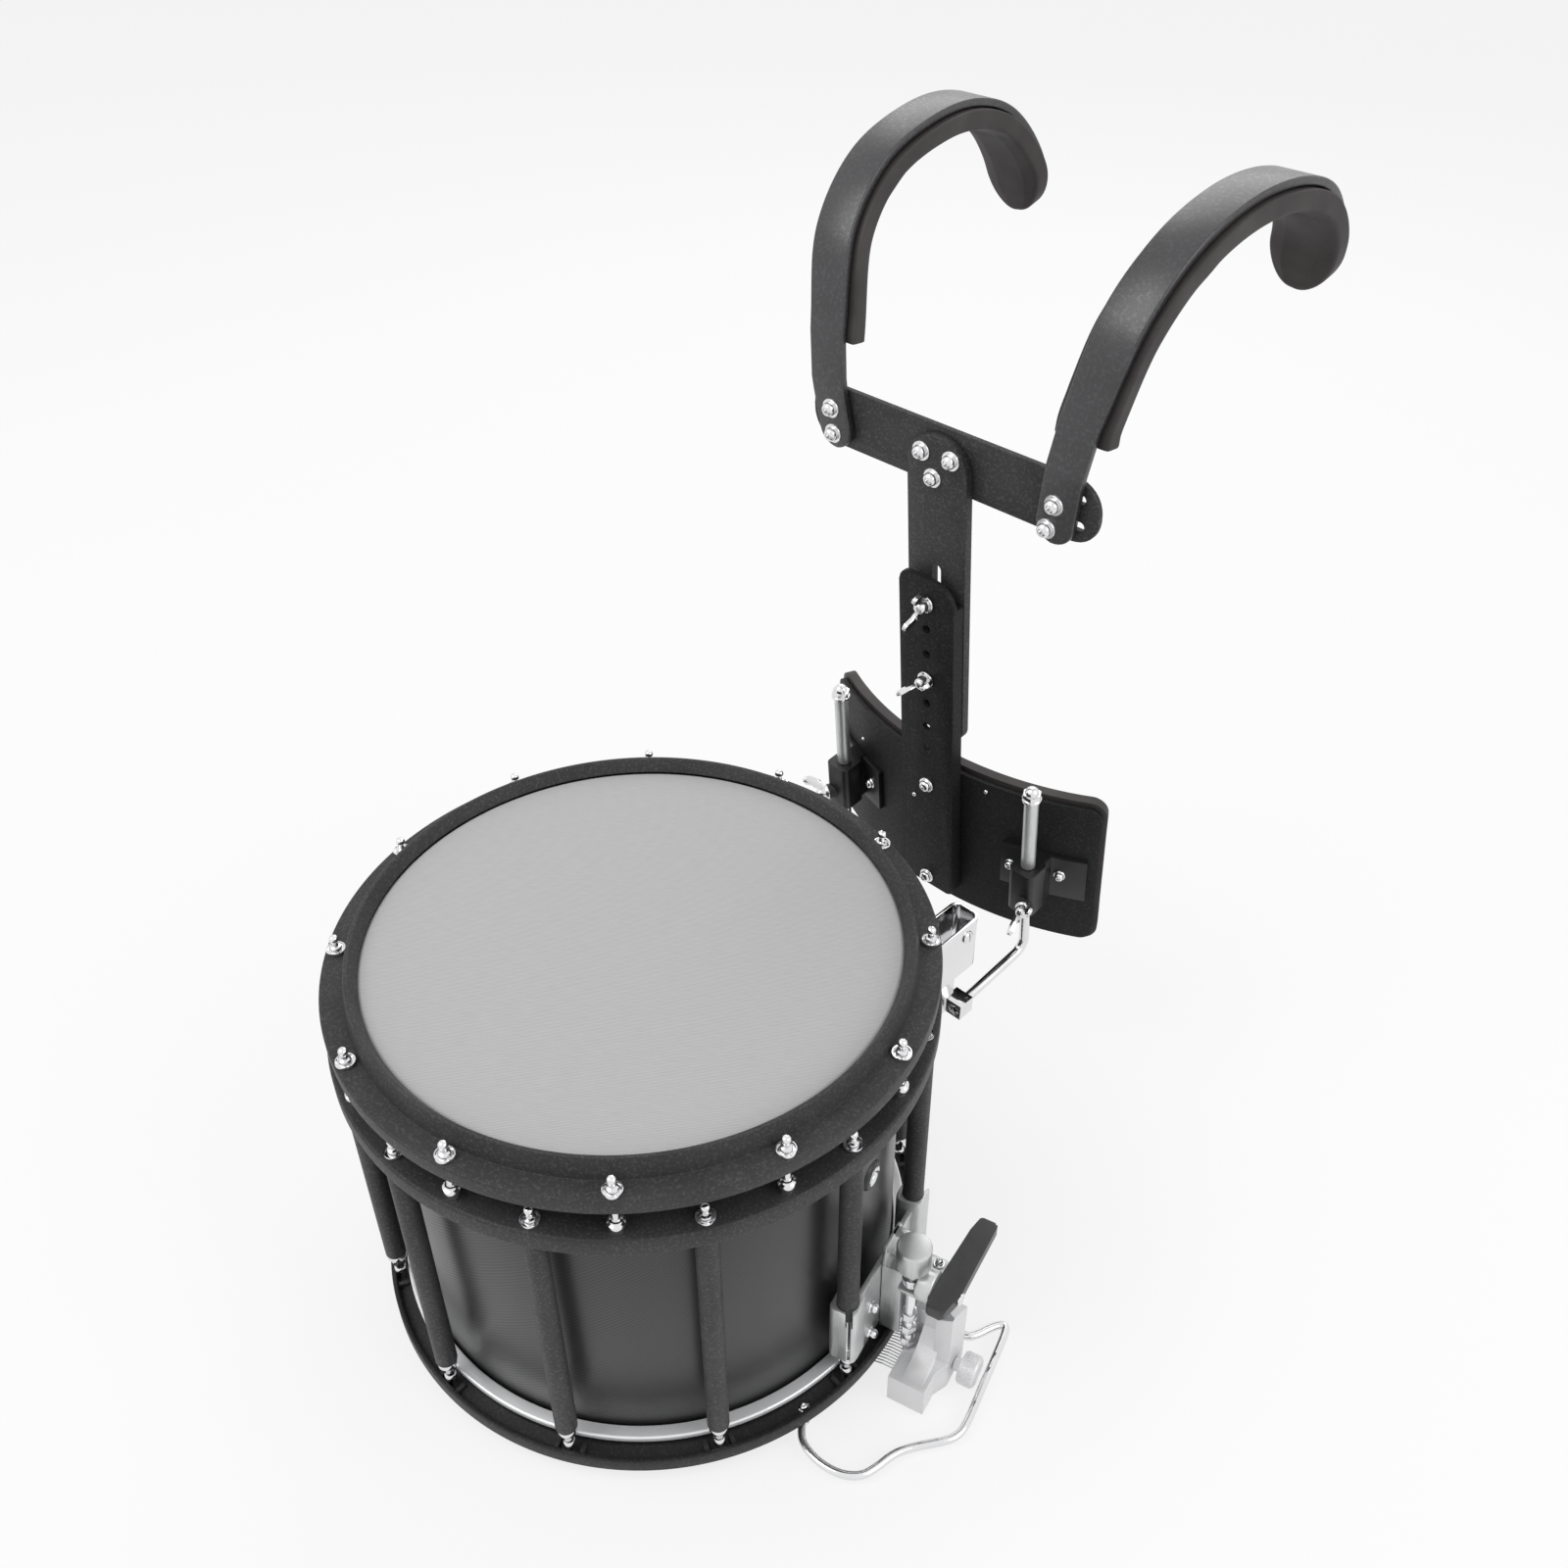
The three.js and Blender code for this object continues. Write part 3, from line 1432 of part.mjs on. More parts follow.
// An arm: its foot runs straight to the arch, and each side's foot has its own slant
function buildArm(footAside) {
  const upright = vec(0, 0, 1);
  const slant = (armStartAside - footAside) / (armStart - armFootBottom);
  const foot = [
    [armFootBottom, armFootTipShare],
    [armFootBottom + armFootWidth / 4, 1],
    [armFootTop, 1],
  ].map(([z, share]) => ({
    point: vec(footAside + slant * (z - armFootBottom), armFront, z),
    half: share * armFootWidth / 2,
    along: upright,
  }));
  const arch = [0, ...archShares].map((share) => ({
    point: archCurve.getPoint(share),
    half: share > 0 ? halfWidthAt(share, armWidth) : armFootWidth / 2,
    along: archCurve.getTangent(share),
  }));
  const stations = [...foot, ...arch];
  return swept(
    stations.map((station) => station.point),
    (i) => flatSection(stations[i].half, 0, armThickness),
    vec(1, 0, 0),
    (i) => stations[i].along,
  );
}

// A pad is a crowned bar of foam under the arch, drawn in towards its ends
function buildPad() {
  const top = armThickness + seatGap;
  const bottom = top + padThickness;
  const edge = padThickness * padEdgeShare;
  const section = (share) => {
    const half = halfWidthAt(share, padWidth);
    const nearEnd = Math.min(share, 1 - share);
    const drawn = padThickness * padCrownShare * (1 - THREE.MathUtils.smoothstep(nearEnd, 0, padEndShare));
    const seat = halfWidthAt(share, armWidth);
    return [
      [seat, top],
      [-seat, top],
      [-half, top + edge / 2],
      [-half, bottom - edge - drawn],
      [-half * (1 - padEdgeShare), bottom - drawn],
      [half * (1 - padEdgeShare), bottom - drawn],
      [half, bottom - edge - drawn],
      [half, top + edge / 2],
    ];
  };
  return swept(
    archShares.map((share) => archCurve.getPoint(share)),
    (i) => section(archShares[i]),
    vec(1, 0, 0),
    (i) => archCurve.getTangent(archShares[i]),
  );
}

for (const [name, side] of sides) {
  const arm = buildArm(side > 0 ? armFootAside : armFootAside - armFootShift);
  add(carrier, `shoulder_arm_${name}`, mirrored(arm, side), finishes.armCoat);
  add(carrier, `shoulder_pad_${name}`, mirrored(buildPad(), side), finishes.foam);
}

export default drum;
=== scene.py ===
"""Marching snare drum hung from a shoulder carrier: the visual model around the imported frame.

Sizes are in millimetres until a piece is placed. The row frame has its origin at the middle of
the batter head, z up, and y towards the player.
"""

import logging
import math
from collections.abc import Callable, Sequence
from dataclasses import dataclass
from enum import Enum

import bmesh
import bpy
from mathutils import Matrix, Vector


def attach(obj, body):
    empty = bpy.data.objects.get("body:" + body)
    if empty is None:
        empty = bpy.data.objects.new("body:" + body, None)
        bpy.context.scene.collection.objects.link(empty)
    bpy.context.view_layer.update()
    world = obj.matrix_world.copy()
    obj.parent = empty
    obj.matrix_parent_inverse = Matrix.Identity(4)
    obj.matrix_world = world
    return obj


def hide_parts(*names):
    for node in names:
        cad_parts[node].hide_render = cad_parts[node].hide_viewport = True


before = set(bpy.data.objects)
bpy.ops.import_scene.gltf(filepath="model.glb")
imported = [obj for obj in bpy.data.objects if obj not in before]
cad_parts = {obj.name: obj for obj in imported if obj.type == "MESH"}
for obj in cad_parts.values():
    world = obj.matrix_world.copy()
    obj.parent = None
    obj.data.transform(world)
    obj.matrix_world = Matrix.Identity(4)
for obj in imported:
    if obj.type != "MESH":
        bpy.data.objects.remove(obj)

LOG = logging.getLogger("marching_snare")
MM = 0.001
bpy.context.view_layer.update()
STRAINER = Matrix.Rotation(math.radians(15), 4, "Z")
CARRIER = Matrix.Translation((0, 299.7, -44.2)) @ Matrix.Rotation(math.radians(4.7), 4, "X")
Z_TO_X = Matrix.Rotation(math.pi / 2, 4, "Y")
Y_TO_Z = Matrix.Rotation(math.pi / 2, 4, "X")
ALL_ROUND = Matrix(((0, 0, 1, 0), (1, 0, 0, 0), (0, 1, 0, 0), (0, 0, 0, 1)))
AHEAD = (0, -1, 0)
SMOOTH_ANGLE = math.radians(38)
Points = Sequence[Sequence[float]]


class Body(Enum):
    """The moving bodies that pieces ride on."""

    DRUM = "drum"
    LEVER = "lever"
    CARRIAGE = "carriage"
    TENSION = "tension"
    SNARE_CLAMP = "snare_clamp"
    SNARES = "snares"
    PLATE = "plate"
    YOKE = "yoke"
    UPPER_SCREW = "upper_screw"
    LOWER_SCREW = "lower_screw"


# ---------------------------------------------------------------------------------- finishes


class Wire:
    """A value in a node tree that takes arithmetic with numbers and other values."""

    def __init__(self, graph: "Graph", socket: bpy.types.NodeSocket) -> None:
        """Keeps the graph and the output socket that holds the value."""
        self.graph, self.socket = graph, socket

    def math(self, operation: str, *values: object) -> "Wire":
        """Adds a Math node.

        Args:
            operation: the node's operation.
            values: its inputs in order.

        Returns:
            The node's result.
        """
        node = self.graph.node("ShaderNodeMath", {"operation": operation})
        for socket, value in zip(node.inputs, values):
            self.graph.feed(socket, value)
        return Wire(self.graph, node.outputs[0])

    def __add__(self, other: object) -> "Wire":
        """Sum."""
        return self.math("ADD", self, other)

    def __sub__(self, other: object) -> "Wire":
        """Difference."""
        return self.math("SUBTRACT", self, other)

    def __mul__(self, other: object) -> "Wire":
        """Product."""
        return self.math("MULTIPLY", self, other)

    __rmul__ = __mul__


class Graph:
    """A shader tree under construction."""

    def __init__(self, tree: bpy.types.NodeTree) -> None:
        """Empties the tree and keeps it."""
        tree.nodes.clear()
        self.tree = tree

    def feed(self, socket: bpy.types.NodeSocket, value: object) -> None:
        """Links a wire to a socket, or writes a constant on it."""
        if isinstance(value, Wire):
            self.tree.links.new(value.socket, socket)
        else:
            socket.default_value = value

    def node(self, kind: str, settings: dict | None = None, inputs: dict | None = None) -> bpy.types.Node:
        """Adds a node.

        Args:
            kind: the node's type.
            settings: its own settings, which are made first.
            inputs: constants or wires by socket name.

        Returns:
            The new node.
        """
        node = self.tree.nodes.new(kind)
        for name, value in (settings or {}).items():
            setattr(node, name, value)
        for name, value in (inputs or {}).items():
            socket = next(s for s in node.inputs if s.name == name and s.enabled)
            self.feed(socket, value)
        return node

    def wire(self, kind: str, settings: dict | None, inputs: dict | None, output: str | int = 0) -> Wire:
        """Adds a node and gives one of its outputs; the arguments are those of node()."""
        node = self.node(kind, settings, inputs)
        if isinstance(output, int):
            return Wire(self, node.outputs[output])
        return Wire(self, next(s for s in node.outputs if s.name == output and s.enabled))

    def place(self) -> Wire:
        """The point's Object coordinates, which are metres in the row frame."""
        return self.wire("ShaderNodeTexCoord", None, None, "Object")

    def noise(self, scale: float, detail: float = 2.0, place: Wire | None = None) -> Wire:
        """Noise from 0 to 1.

        Args:
            scale: waves to the metre.
            detail: octaves.
            place: coordinates to read, or the Object coordinates.

        Returns:
            The noise.
        """
        inputs = {"Vector": place or self.place(), "Scale": scale, "Detail": detail}
        return self.wire("ShaderNodeTexNoise", None, inputs, "Fac")

    def stretched(self, turn: Sequence[float], scale: Sequence[float]) -> Wire:
        """Object coordinates, turned in degrees and then scaled."""
        inputs = {
            "Vector": self.place(), "Rotation": [math.radians(a) for a in turn], "Scale": scale,
        }
        return self.wire("ShaderNodeMapping", {"vector_type": "TEXTURE"}, inputs)

    def blend(self, factor: object, low: Sequence[float], high: Sequence[float]) -> Wire:
        """A colour between two."""
        inputs = {"Factor": factor, "A": (*low, 1), "B": (*high, 1)}
        return self.wire("ShaderNodeMix", {"data_type": "RGBA"}, inputs, "Result")

    def span(self, value: Wire, low: float, high: float, to_low: float, to_high: float) -> Wire:
        """Carries a value from one range to another, held at its ends."""
        inputs = {
            "Value": value, "From Min": low, "From Max": high, "To Min": to_low, "To Max": to_high,
        }
        return self.wire("ShaderNodeMapRange", None, inputs)

    def bump(self, height: Wire, depth_mm: float, strength: float = 1.0) -> Wire:
        """A bumped normal, with the depth of the relief in mm."""
        inputs = {"Height": height, "Distance": depth_mm * MM, "Strength": strength}
        return self.wire("ShaderNodeBump", None, inputs)


@dataclass(frozen=True)
class Finish:
    """A surface finish; its material is made once."""

    name: str
    slot: str
    colour: tuple[float, float, float]
    shade: tuple[float, float, float]
    roughness: float = 0.5
    metallic: float = 0.0

    def material(self) -> bpy.types.Material:
        """The finish's material, made the first time it is asked for."""
        title = f"dressed_{self.name}"
        found = bpy.data.materials.get(title)
        if found:
            return found
        material = bpy.data.materials.new(title)
        material.use_nodes = True
        graph = Graph(material.node_tree)
        shader = graph.node("ShaderNodeBsdfPrincipled", None, {
            "Roughness": self.roughness, "Metallic": self.metallic, "Base Color": (*self.colour, 1),
        })
        self.dress(graph, shader)
        output = graph.node("ShaderNodeOutputMaterial")
        graph.feed(output.inputs["Surface"], Wire(graph, shader.outputs[0]))
        material.diffuse_color = (*self.colour, 1)
        return material

    def dress(self, graph: Graph, shader: bpy.types.Node) -> None:
        """Adds the finish's own pattern to its shader; each kind of finish has one.

        Args:
            graph: the tree.
            shader: the Principled BSDF to feed.
        """
        raise NotImplementedError


@dataclass(frozen=True)
class Powder(Finish):
    """Wrinkled powder coat: fine pits and small paler flecks."""

    fleck: float = 560.0
    grain: float = 1700.0
    relief: float = 0.16
    gloss: float = 0.28

    def dress(self, graph: Graph, shader: bpy.types.Node) -> None:
        """Flecks in the colour and the gloss, and pits in the relief."""
        fleck = graph.span(graph.noise(self.fleck, 4), 0.5, 0.72, 0, 1)
        wash = graph.span(graph.noise(22, 3), 0.35, 0.65, 0, 0.3)
        both = fleck + wash
        pale = both.math("MINIMUM", both, 1.0)
        graph.feed(shader.inputs["Base Color"], graph.blend(pale, self.colour, self.shade))
        graph.feed(shader.inputs["Roughness"], graph.span(
            fleck, 0, 1, self.roughness, self.roughness - 0.1,
        ))
        height = graph.noise(self.grain, 2) + 0.8 * graph.noise(self.fleck * 1.6, 2)
        graph.feed(shader.inputs["Normal"], graph.bump(height, self.relief, 0.6))
        shader.inputs["Specular IOR Level"].default_value = self.gloss


@dataclass(frozen=True)
class Wrap(Finish):
    """Satin shell wrap with a fine slanting weave round the drum."""

    radius: float = 177.8
    threads: int = 246
    slant: float = 1.43

    def dress(self, graph: Graph, shader: bpy.types.Node) -> None:
        """A twill that runs round the shell without a seam."""
        split = graph.node("ShaderNodeSeparateXYZ", None, {"Vector": graph.place()})
        x, y, z = (Wire(graph, socket) for socket in split.outputs)
        turn = x.math("ARCTAN2", y, x) * self.threads
        rise = z * (self.threads / (self.radius * MM))
        slope = rise * self.slant - turn
        cross = rise * self.slant + turn * 2
        weave = slope.math("SINE", slope) + 0.45 * cross.math("SINE", cross)
        pattern = graph.span(weave, -1.2, 1.2, 0, 1)
        wash = graph.noise(14, 2)
        graph.feed(shader.inputs["Base Color"], graph.blend(
            pattern * 0.8 + wash * 0.3, self.colour, self.shade,
        ))
        graph.feed(shader.inputs["Roughness"], graph.span(
            pattern, 0, 1, self.roughness, self.roughness - 0.1,
        ))
        graph.feed(shader.inputs["Normal"], graph.bump(pattern, 0.05, 0.35))
        shader.inputs["Coat Weight"].default_value = 0.08
        shader.inputs["Coat Roughness"].default_value = 0.25


@dataclass(frozen=True)
class WovenHead(Finish):
    """Matt head of laminated woven fibre, with close parallel threads."""

    pitch: float = 1.1
    lay: float = 38.0

    def dress(self, graph: Graph, shader: bpy.types.Node) -> None:
        """Threads along two directions, the first one plainer."""
        turn = (0, 0, self.lay)
        laid = {
            "Vector": graph.stretched(turn, (1, 1, 1)), "Scale": math.tau / 20 / (self.pitch * MM),
        }
        near = graph.wire("ShaderNodeTexWave", {"bands_direction": "Y", "wave_profile": "SIN"}, {
            **laid, "Distortion": 1.2, "Detail": 1.0, "Detail Scale": 40.0,
        }, "Fac")
        far = graph.wire("ShaderNodeTexWave", {"bands_direction": "X", "wave_profile": "SIN"}, {
            **laid, "Distortion": 0.8,
        }, "Fac")
        slub = graph.noise(1.0, 3, graph.stretched(turn, (0.012, 0.0012, 1)))
        weave = near * 0.6 + far * 0.22 + slub * 0.4
        graph.feed(shader.inputs["Base Color"], graph.blend(
            graph.span(weave, 0.25, 0.95, 0, 1), self.colour, self.shade,
        ))
        graph.feed(shader.inputs["Normal"], graph.bump(near + far, 0.05, 0.25))


@dataclass(frozen=True)
class Bright(Finish):
    """Polished plating, with faint handling marks in its gloss."""

    def dress(self, graph: Graph, shader: bpy.types.Node) -> None:
        """Soft smears in the roughness and a trace of tint."""
        smear = graph.noise(45, 4)
        graph.feed(shader.inputs["Roughness"], graph.span(
            smear, 0.35, 0.7, self.roughness, self.roughness + 0.09,
        ))
        graph.feed(shader.inputs["Base Color"], graph.blend(smear, self.colour, self.shade))


@dataclass(frozen=True)
class Brushed(Finish):
    """Metal with a fine brushed or cast skin."""

    grain: tuple[float, float, float] = (0.0006, 0.0006, 0.02)
    relief: float = 0.05

    def dress(self, graph: Graph, shader: bpy.types.Node) -> None:
        """Fine strokes in the colour, the gloss and the relief."""
        stroke = graph.noise(1.0, 3, graph.stretched((0, 0, 15), self.grain))
        graph.feed(shader.inputs["Base Color"], graph.blend(
            graph.span(stroke, 0.3, 0.7, 0, 1), self.colour, self.shade,
        ))
        graph.feed(shader.inputs["Roughness"], graph.span(
            graph.noise(60, 3), 0.3, 0.7, self.roughness - 0.06, self.roughness + 0.08,
        ))
        graph.feed(shader.inputs["Normal"], graph.bump(stroke, self.relief, 0.3))


@dataclass(frozen=True)
class Moulded(Finish):
    """Moulded plastic or foam with a fine pebbled skin."""

    grain: float = 900.0
    relief: float = 0.08

    def dress(self, graph: Graph, shader: bpy.types.Node) -> None:
        """Fine grain, with broad soft wear."""
        grain = graph.noise(self.grain, 2)
        wear = graph.span(graph.noise(30, 4), 0.4, 0.7, 0, 1)
        graph.feed(shader.inputs["Base Color"], graph.blend(
            0.4 * grain + 0.6 * wear, self.colour, self.shade,
        ))
        graph.feed(shader.inputs["Roughness"], graph.span(
            wear, 0, 1, self.roughness, self.roughness - 0.08,
        ))
        graph.feed(shader.inputs["Normal"], graph.bump(grain, self.relief, 0.4))


POWDER = Powder("powder_coat", "powder_black", (0.028, 0.027, 0.028), (0.066, 0.064, 0.067), 0.52)
# Painted shade: a darker copy of the same powder coat for the snare hoop, standing in for the shade below the
# drum and in the hoop's channel.
SHADED_POWDER = Powder("painted_shade_coat", "powder_black", (0.012, 0.012, 0.013), (0.034, 0.033, 0.035), 0.5)
CARRIER_POWDER = Powder("carrier_coat", "carrier_black", (0.024, 0.023, 0.024), (0.066, 0.064, 0.067), 0.54)
# Painted shade: a darker copy of the carrier's powder coat for the column, for the shade the drum casts on it.
SHADED_COLUMN_POWDER = Powder(
    "column_painted_shade_coat", "carrier_black", (0.008, 0.008, 0.008), (0.03, 0.029, 0.03), 0.56, gloss=0.16,
)
# Painted shade: a darker copy of the carrier's powder coat for the belly plate, for the shade the drum casts on
# it.
SHADED_PLATE_POWDER = Powder(
    "plate_painted_shade_coat", "carrier_black", (0.009, 0.009, 0.01), (0.026, 0.026, 0.027), 0.56, gloss=0.2,
)
ARM_COAT = Powder(
    "arm_coat", "arm_coat", (0.019, 0.0185, 0.0205), (0.052, 0.051, 0.057), 0.34,
    fleck=430.0, relief=0.1, gloss=0.7,
)
WRAP = Wrap("shell_wrap", "shell_wrap", (0.009, 0.009, 0.0095), (0.034, 0.034, 0.035), 0.4)
HEAD = WovenHead("batter_cloth", "batter_skin", (0.36, 0.365, 0.36), (0.53, 0.535, 0.53), 0.62)
FILM = Moulded("snare_film", "snare_skin", (0.62, 0.63, 0.62), (0.72, 0.73, 0.72), 0.35)
HOOP_METAL = Bright("flesh_hoop_metal", "chrome_rod", (0.86, 0.87, 0.88), (0.92, 0.93, 0.94), 0.3, 0.4)
CHROME = Bright("chrome", "chrome_rod", (0.72, 0.72, 0.73), (0.82, 0.82, 0.83), 0.08, 1.0)
WING_CHROME = Bright("wing_chrome", "wing_chrome", (0.7, 0.7, 0.71), (0.8, 0.8, 0.81), 0.12, 1.0)
WING_BLACK = Moulded("wing_black", "wing_black", (0.012, 0.012, 0.013), (0.03, 0.03, 0.032), 0.35)
SATIN = Brushed("satin_metal", "satin_metal", (0.58, 0.59, 0.59), (0.7, 0.71, 0.71), 0.36, 0.8)
CAST = Brushed(
    "cast_silver", "cast_silver", (0.72, 0.72, 0.73), (0.8, 0.8, 0.81), 0.4, 0.55,
    grain=(0.0009, 0.0009, 0.0009), relief=0.07,
)
BLOCK_PLASTIC = Moulded("block_plastic", "clamp_black", (0.006, 0.006, 0.007), (0.016, 0.016, 0.017), 0.45)
LEVER_PLASTIC = Moulded("lever_plastic", "black_plastic", (0.022, 0.022, 0.024), (0.05, 0.05, 0.053), 0.4)
DARK_RUBBER = Moulded("grommet_black", "black_plastic", (0.01, 0.01, 0.011), (0.025, 0.025, 0.027), 0.4)
STEEL = Brushed("snare_steel", "snare_wire", (0.5, 0.5, 0.51), (0.66, 0.66, 0.67), 0.28, 1.0)
FOAM = Moulded(
    "pad_foam", "pad_foam", (0.021, 0.017, 0.017), (0.04, 0.034, 0.033), 0.62, grain=1400.0, relief=0.1,
)


# ---------------------------------------------------------------------------------- shapes


def evaluated(mesh: bpy.types.Mesh, setup: Callable[[bpy.types.Object], None]) -> bpy.types.Mesh:
    """Runs modifiers on a mesh.

    Args:
        mesh: the mesh, which is used up.
        setup: adds the modifiers to the object it is given.

    Returns:
        The plain result.
    """
    obj = bpy.data.objects.new("workpiece", mesh)
    bpy.context.scene.collection.objects.link(obj)
    setup(obj)
    result = bpy.data.meshes.new_from_object(obj.evaluated_get(bpy.context.evaluated_depsgraph_get()))
    obj.modifiers.clear()
    bpy.data.objects.remove(obj)
    bpy.data.meshes.remove(mesh)
    return result


def from_bmesh(bm: bmesh.types.BMesh) -> bpy.types.Mesh:
    """Turns a bmesh into a mesh with outward faces."""
    bmesh.ops.recalc_face_normals(bm, faces=bm.faces)
    mesh = bpy.data.meshes.new("shape")
    bm.to_mesh(mesh)
    bm.free()
    return mesh


def eased(
    points: Points, radii: float | Sequence[float], steps: int = 4, closed: bool = True,
) -> list[Vector]:
    """Rounds the corners of an outline or a path.

    Args:
        points: its corners, in two or three dimensions.
        radii: the radius at each corner, or one for all.
        steps: parts to each arc.
        closed: whether the last corner joins the first.

    Returns:
        The rounded points.
    """
    count = len(points)
    corners = [Vector(p) for p in points]
    sizes = [radii] * count if isinstance(radii, (int, float)) else list(radii)
    rounded: list[Vector] = []
    for i, (corner, size) in enumerate(zip(corners, sizes)):
        if size <= 0 or (not closed and i in (0, count - 1)):
            rounded.append(corner)
            continue
        before, after = corners[i - 1] - corner, corners[(i + 1) % count] - corner
        a, b = before.normalized(), after.normalized()
        half = math.acos(max(-1.0, min(1.0, a.dot(b)))) / 2
        if half > math.radians(89):
            rounded.append(corner)
            continue
        reach = min(size / math.tan(half), 0.49 * before.length, 0.49 * after.length)
        centre = corner + (a + b).normalized() * (reach / math.cos(half))
        start, end = corner + a * reach - centre, corner + b * reach - centre
        sweep = math.pi - 2 * half
        for k in range(steps + 1):
            share = k / steps
            rounded.append(centre + (
                start * math.sin((1 - share) * sweep) + end * math.sin(share * sweep)
            ) / math.sin(sweep))
    return rounded


def softer(path: Points, rounds: int) -> list[Vector]:
    """Cuts the corners of an open path, a few times over."""
    course = [Vector(p) for p in path]
    for _ in range(rounds):
        inner = [near.lerp(far, share) for near, far in zip(course, course[1:]) for share in (0.25, 0.75)]
        course = [course[0], *inner[1:-1], course[-1]]
    return course


def lathe(profile: Points, steps: int = 32, closed: bool = False) -> bpy.types.Mesh:
    """Turns a profile of (radius, height) round the Z axis.

    Args:
        profile: its points; on the axis they become a pole.
        steps: faces round the turn.
        closed: whether the last point joins the first, as in a ring.

    Returns:
        The turned solid.
    """
    bm = bmesh.new()
    rings = []
    for radius, height in profile:
        if radius < 1e-6:
            rings.append([bm.verts.new((0, 0, height))] * steps)
        else:
            rings.append([bm.verts.new((
                radius * math.cos(math.tau * k / steps), radius * math.sin(math.tau * k / steps), height,
            )) for k in range(steps)])
    pairs = list(zip(rings, rings[1:])) + ([(rings[-1], rings[0])] if closed else [])
    for low, high in pairs:
        for k in range(steps):
            n = (k + 1) % steps
            corners = list(dict.fromkeys((low[k], low[n], high[n], high[k])))
            if len(corners) > 2:
                bm.faces.new(corners)
    return from_bmesh(bm)


def seated(seat: float, *profile: tuple[float, float]) -> list[tuple[float, float]]:
    """Sets a profile of (radius, height) on a seat."""
    return [(radius, seat + height) for radius, height in profile]


def prism(outline: Points, low: float, high: float, bevel: float = 0.0, steps: int = 2) -> bpy.types.Mesh:
    """A plate with the outline in X and Y, from low to high along Z.

    Args:
        outline: the corners.
        low: where it starts.
        high: where it ends.
        bevel: the round on its rims.
        steps: faces in that round.

    Returns:
        The plate.
    """
    bm = bmesh.new()
    ends = [[bm.verts.new((p[0], p[1], z)) for p in outline] for z in (low, high)]
    caps = [bm.faces.new(end) for end in ends]
    for k in range(len(outline)):
        n = (k + 1) % len(outline)
        bm.faces.new((ends[0][k], ends[0][n], ends[1][n], ends[1][k]))
    if bevel:
        rims = {edge for cap in caps for edge in cap.edges}
        bmesh.ops.bevel(bm, geom=list(rims), offset=bevel, segments=steps, affect="EDGES", profile=0.5)
    return from_bmesh(bm)


def rounded_box(
    low: Sequence[float], high: Sequence[float], radius: float, rim: float = 0.6,
) -> bpy.types.Mesh:
    """A box with round upright corners and softly rounded rims."""
    corners = [(low[0], low[1]), (high[0], low[1]), (high[0], high[1]), (low[0], high[1])]
    return prism(eased(corners, radius), low[2], high[2], rim)


def swept(path: Points, sections: Callable[[int], Points], hint: Sequence[float]) -> bpy.types.Mesh:
    """Carries a section along a path.

    Args:
        path: the points.
        sections: gives the section at a point as (across, inward) pairs.
        hint: the direction that across keeps to.

    Returns:
        The closed sweep.
    """
    bm = bmesh.new()
    course = [Vector(p) for p in path]
    rings = []
    for i, point in enumerate(course):
        along = (course[min(i + 1, len(course) - 1)] - course[max(i - 1, 0)]).normalized()
        across = (Vector(hint) - along * along.dot(Vector(hint))).normalized()
        inward = along.cross(across)
        rings.append([bm.verts.new(point + across * a + inward * b) for a, b in sections(i)])
    for near, far in zip(rings, rings[1:]):
        for k in range(len(near)):
            n = (k + 1) % len(near)
            bm.faces.new((near[k], near[n], far[n], far[k]))
    bm.faces.new(rings[0])
    bm.faces.new(rings[-1])
    return from_bmesh(bm)


def moved(mesh: bpy.types.Mesh, matrix: Matrix) -> bpy.types.Mesh:
    """Moves a mesh and keeps its faces outward."""
    mesh.transform(matrix)
    if matrix.determinant() < 0:
        mesh.flip_normals()
    return mesh


def joined(*meshes: bpy.types.Mesh) -> bpy.types.Mesh:
    """One mesh of several, each kept whole."""
    bm = bmesh.new()
    for mesh in meshes:
        bm.from_mesh(mesh)
        bpy.data.meshes.remove(mesh)
    mesh = bpy.data.meshes.new("shape")
    bm.to_mesh(mesh)
    bm.free()
    return mesh


def carved(mesh: bpy.types.Mesh, *cutters: bpy.types.Mesh) -> bpy.types.Mesh:
    """Takes the cutters' space out of a mesh."""
    tool = bpy.data.objects.new("cutter", joined(*cutters))
    bpy.context.scene.collection.objects.link(tool)

    def setup(obj: bpy.types.Object) -> None:
        """Adds the cut."""
        cut = obj.modifiers.new("cut", "BOOLEAN")
        cut.operation, cut.solver, cut.object, cut.use_self = "DIFFERENCE", "EXACT", tool, True

    result = evaluated(mesh, setup)
    data = tool.data
    bpy.data.objects.remove(tool)
    bpy.data.meshes.remove(data)
    return result


def softened(mesh: bpy.types.Mesh, width: float, steps: int = 2, angle: float = 35) -> bpy.types.Mesh:
    """Bevels the edges sharper than an angle."""
    def setup(obj: bpy.types.Object) -> None:
        """Adds the bevel."""
        bevel = obj.modifiers.new("bevel", "BEVEL")
        bevel.width, bevel.segments, bevel.limit_method = width, steps, "ANGLE"
        bevel.angle_limit, bevel.use_clamp_overlap = math.radians(angle), True

    return evaluated(mesh, setup)


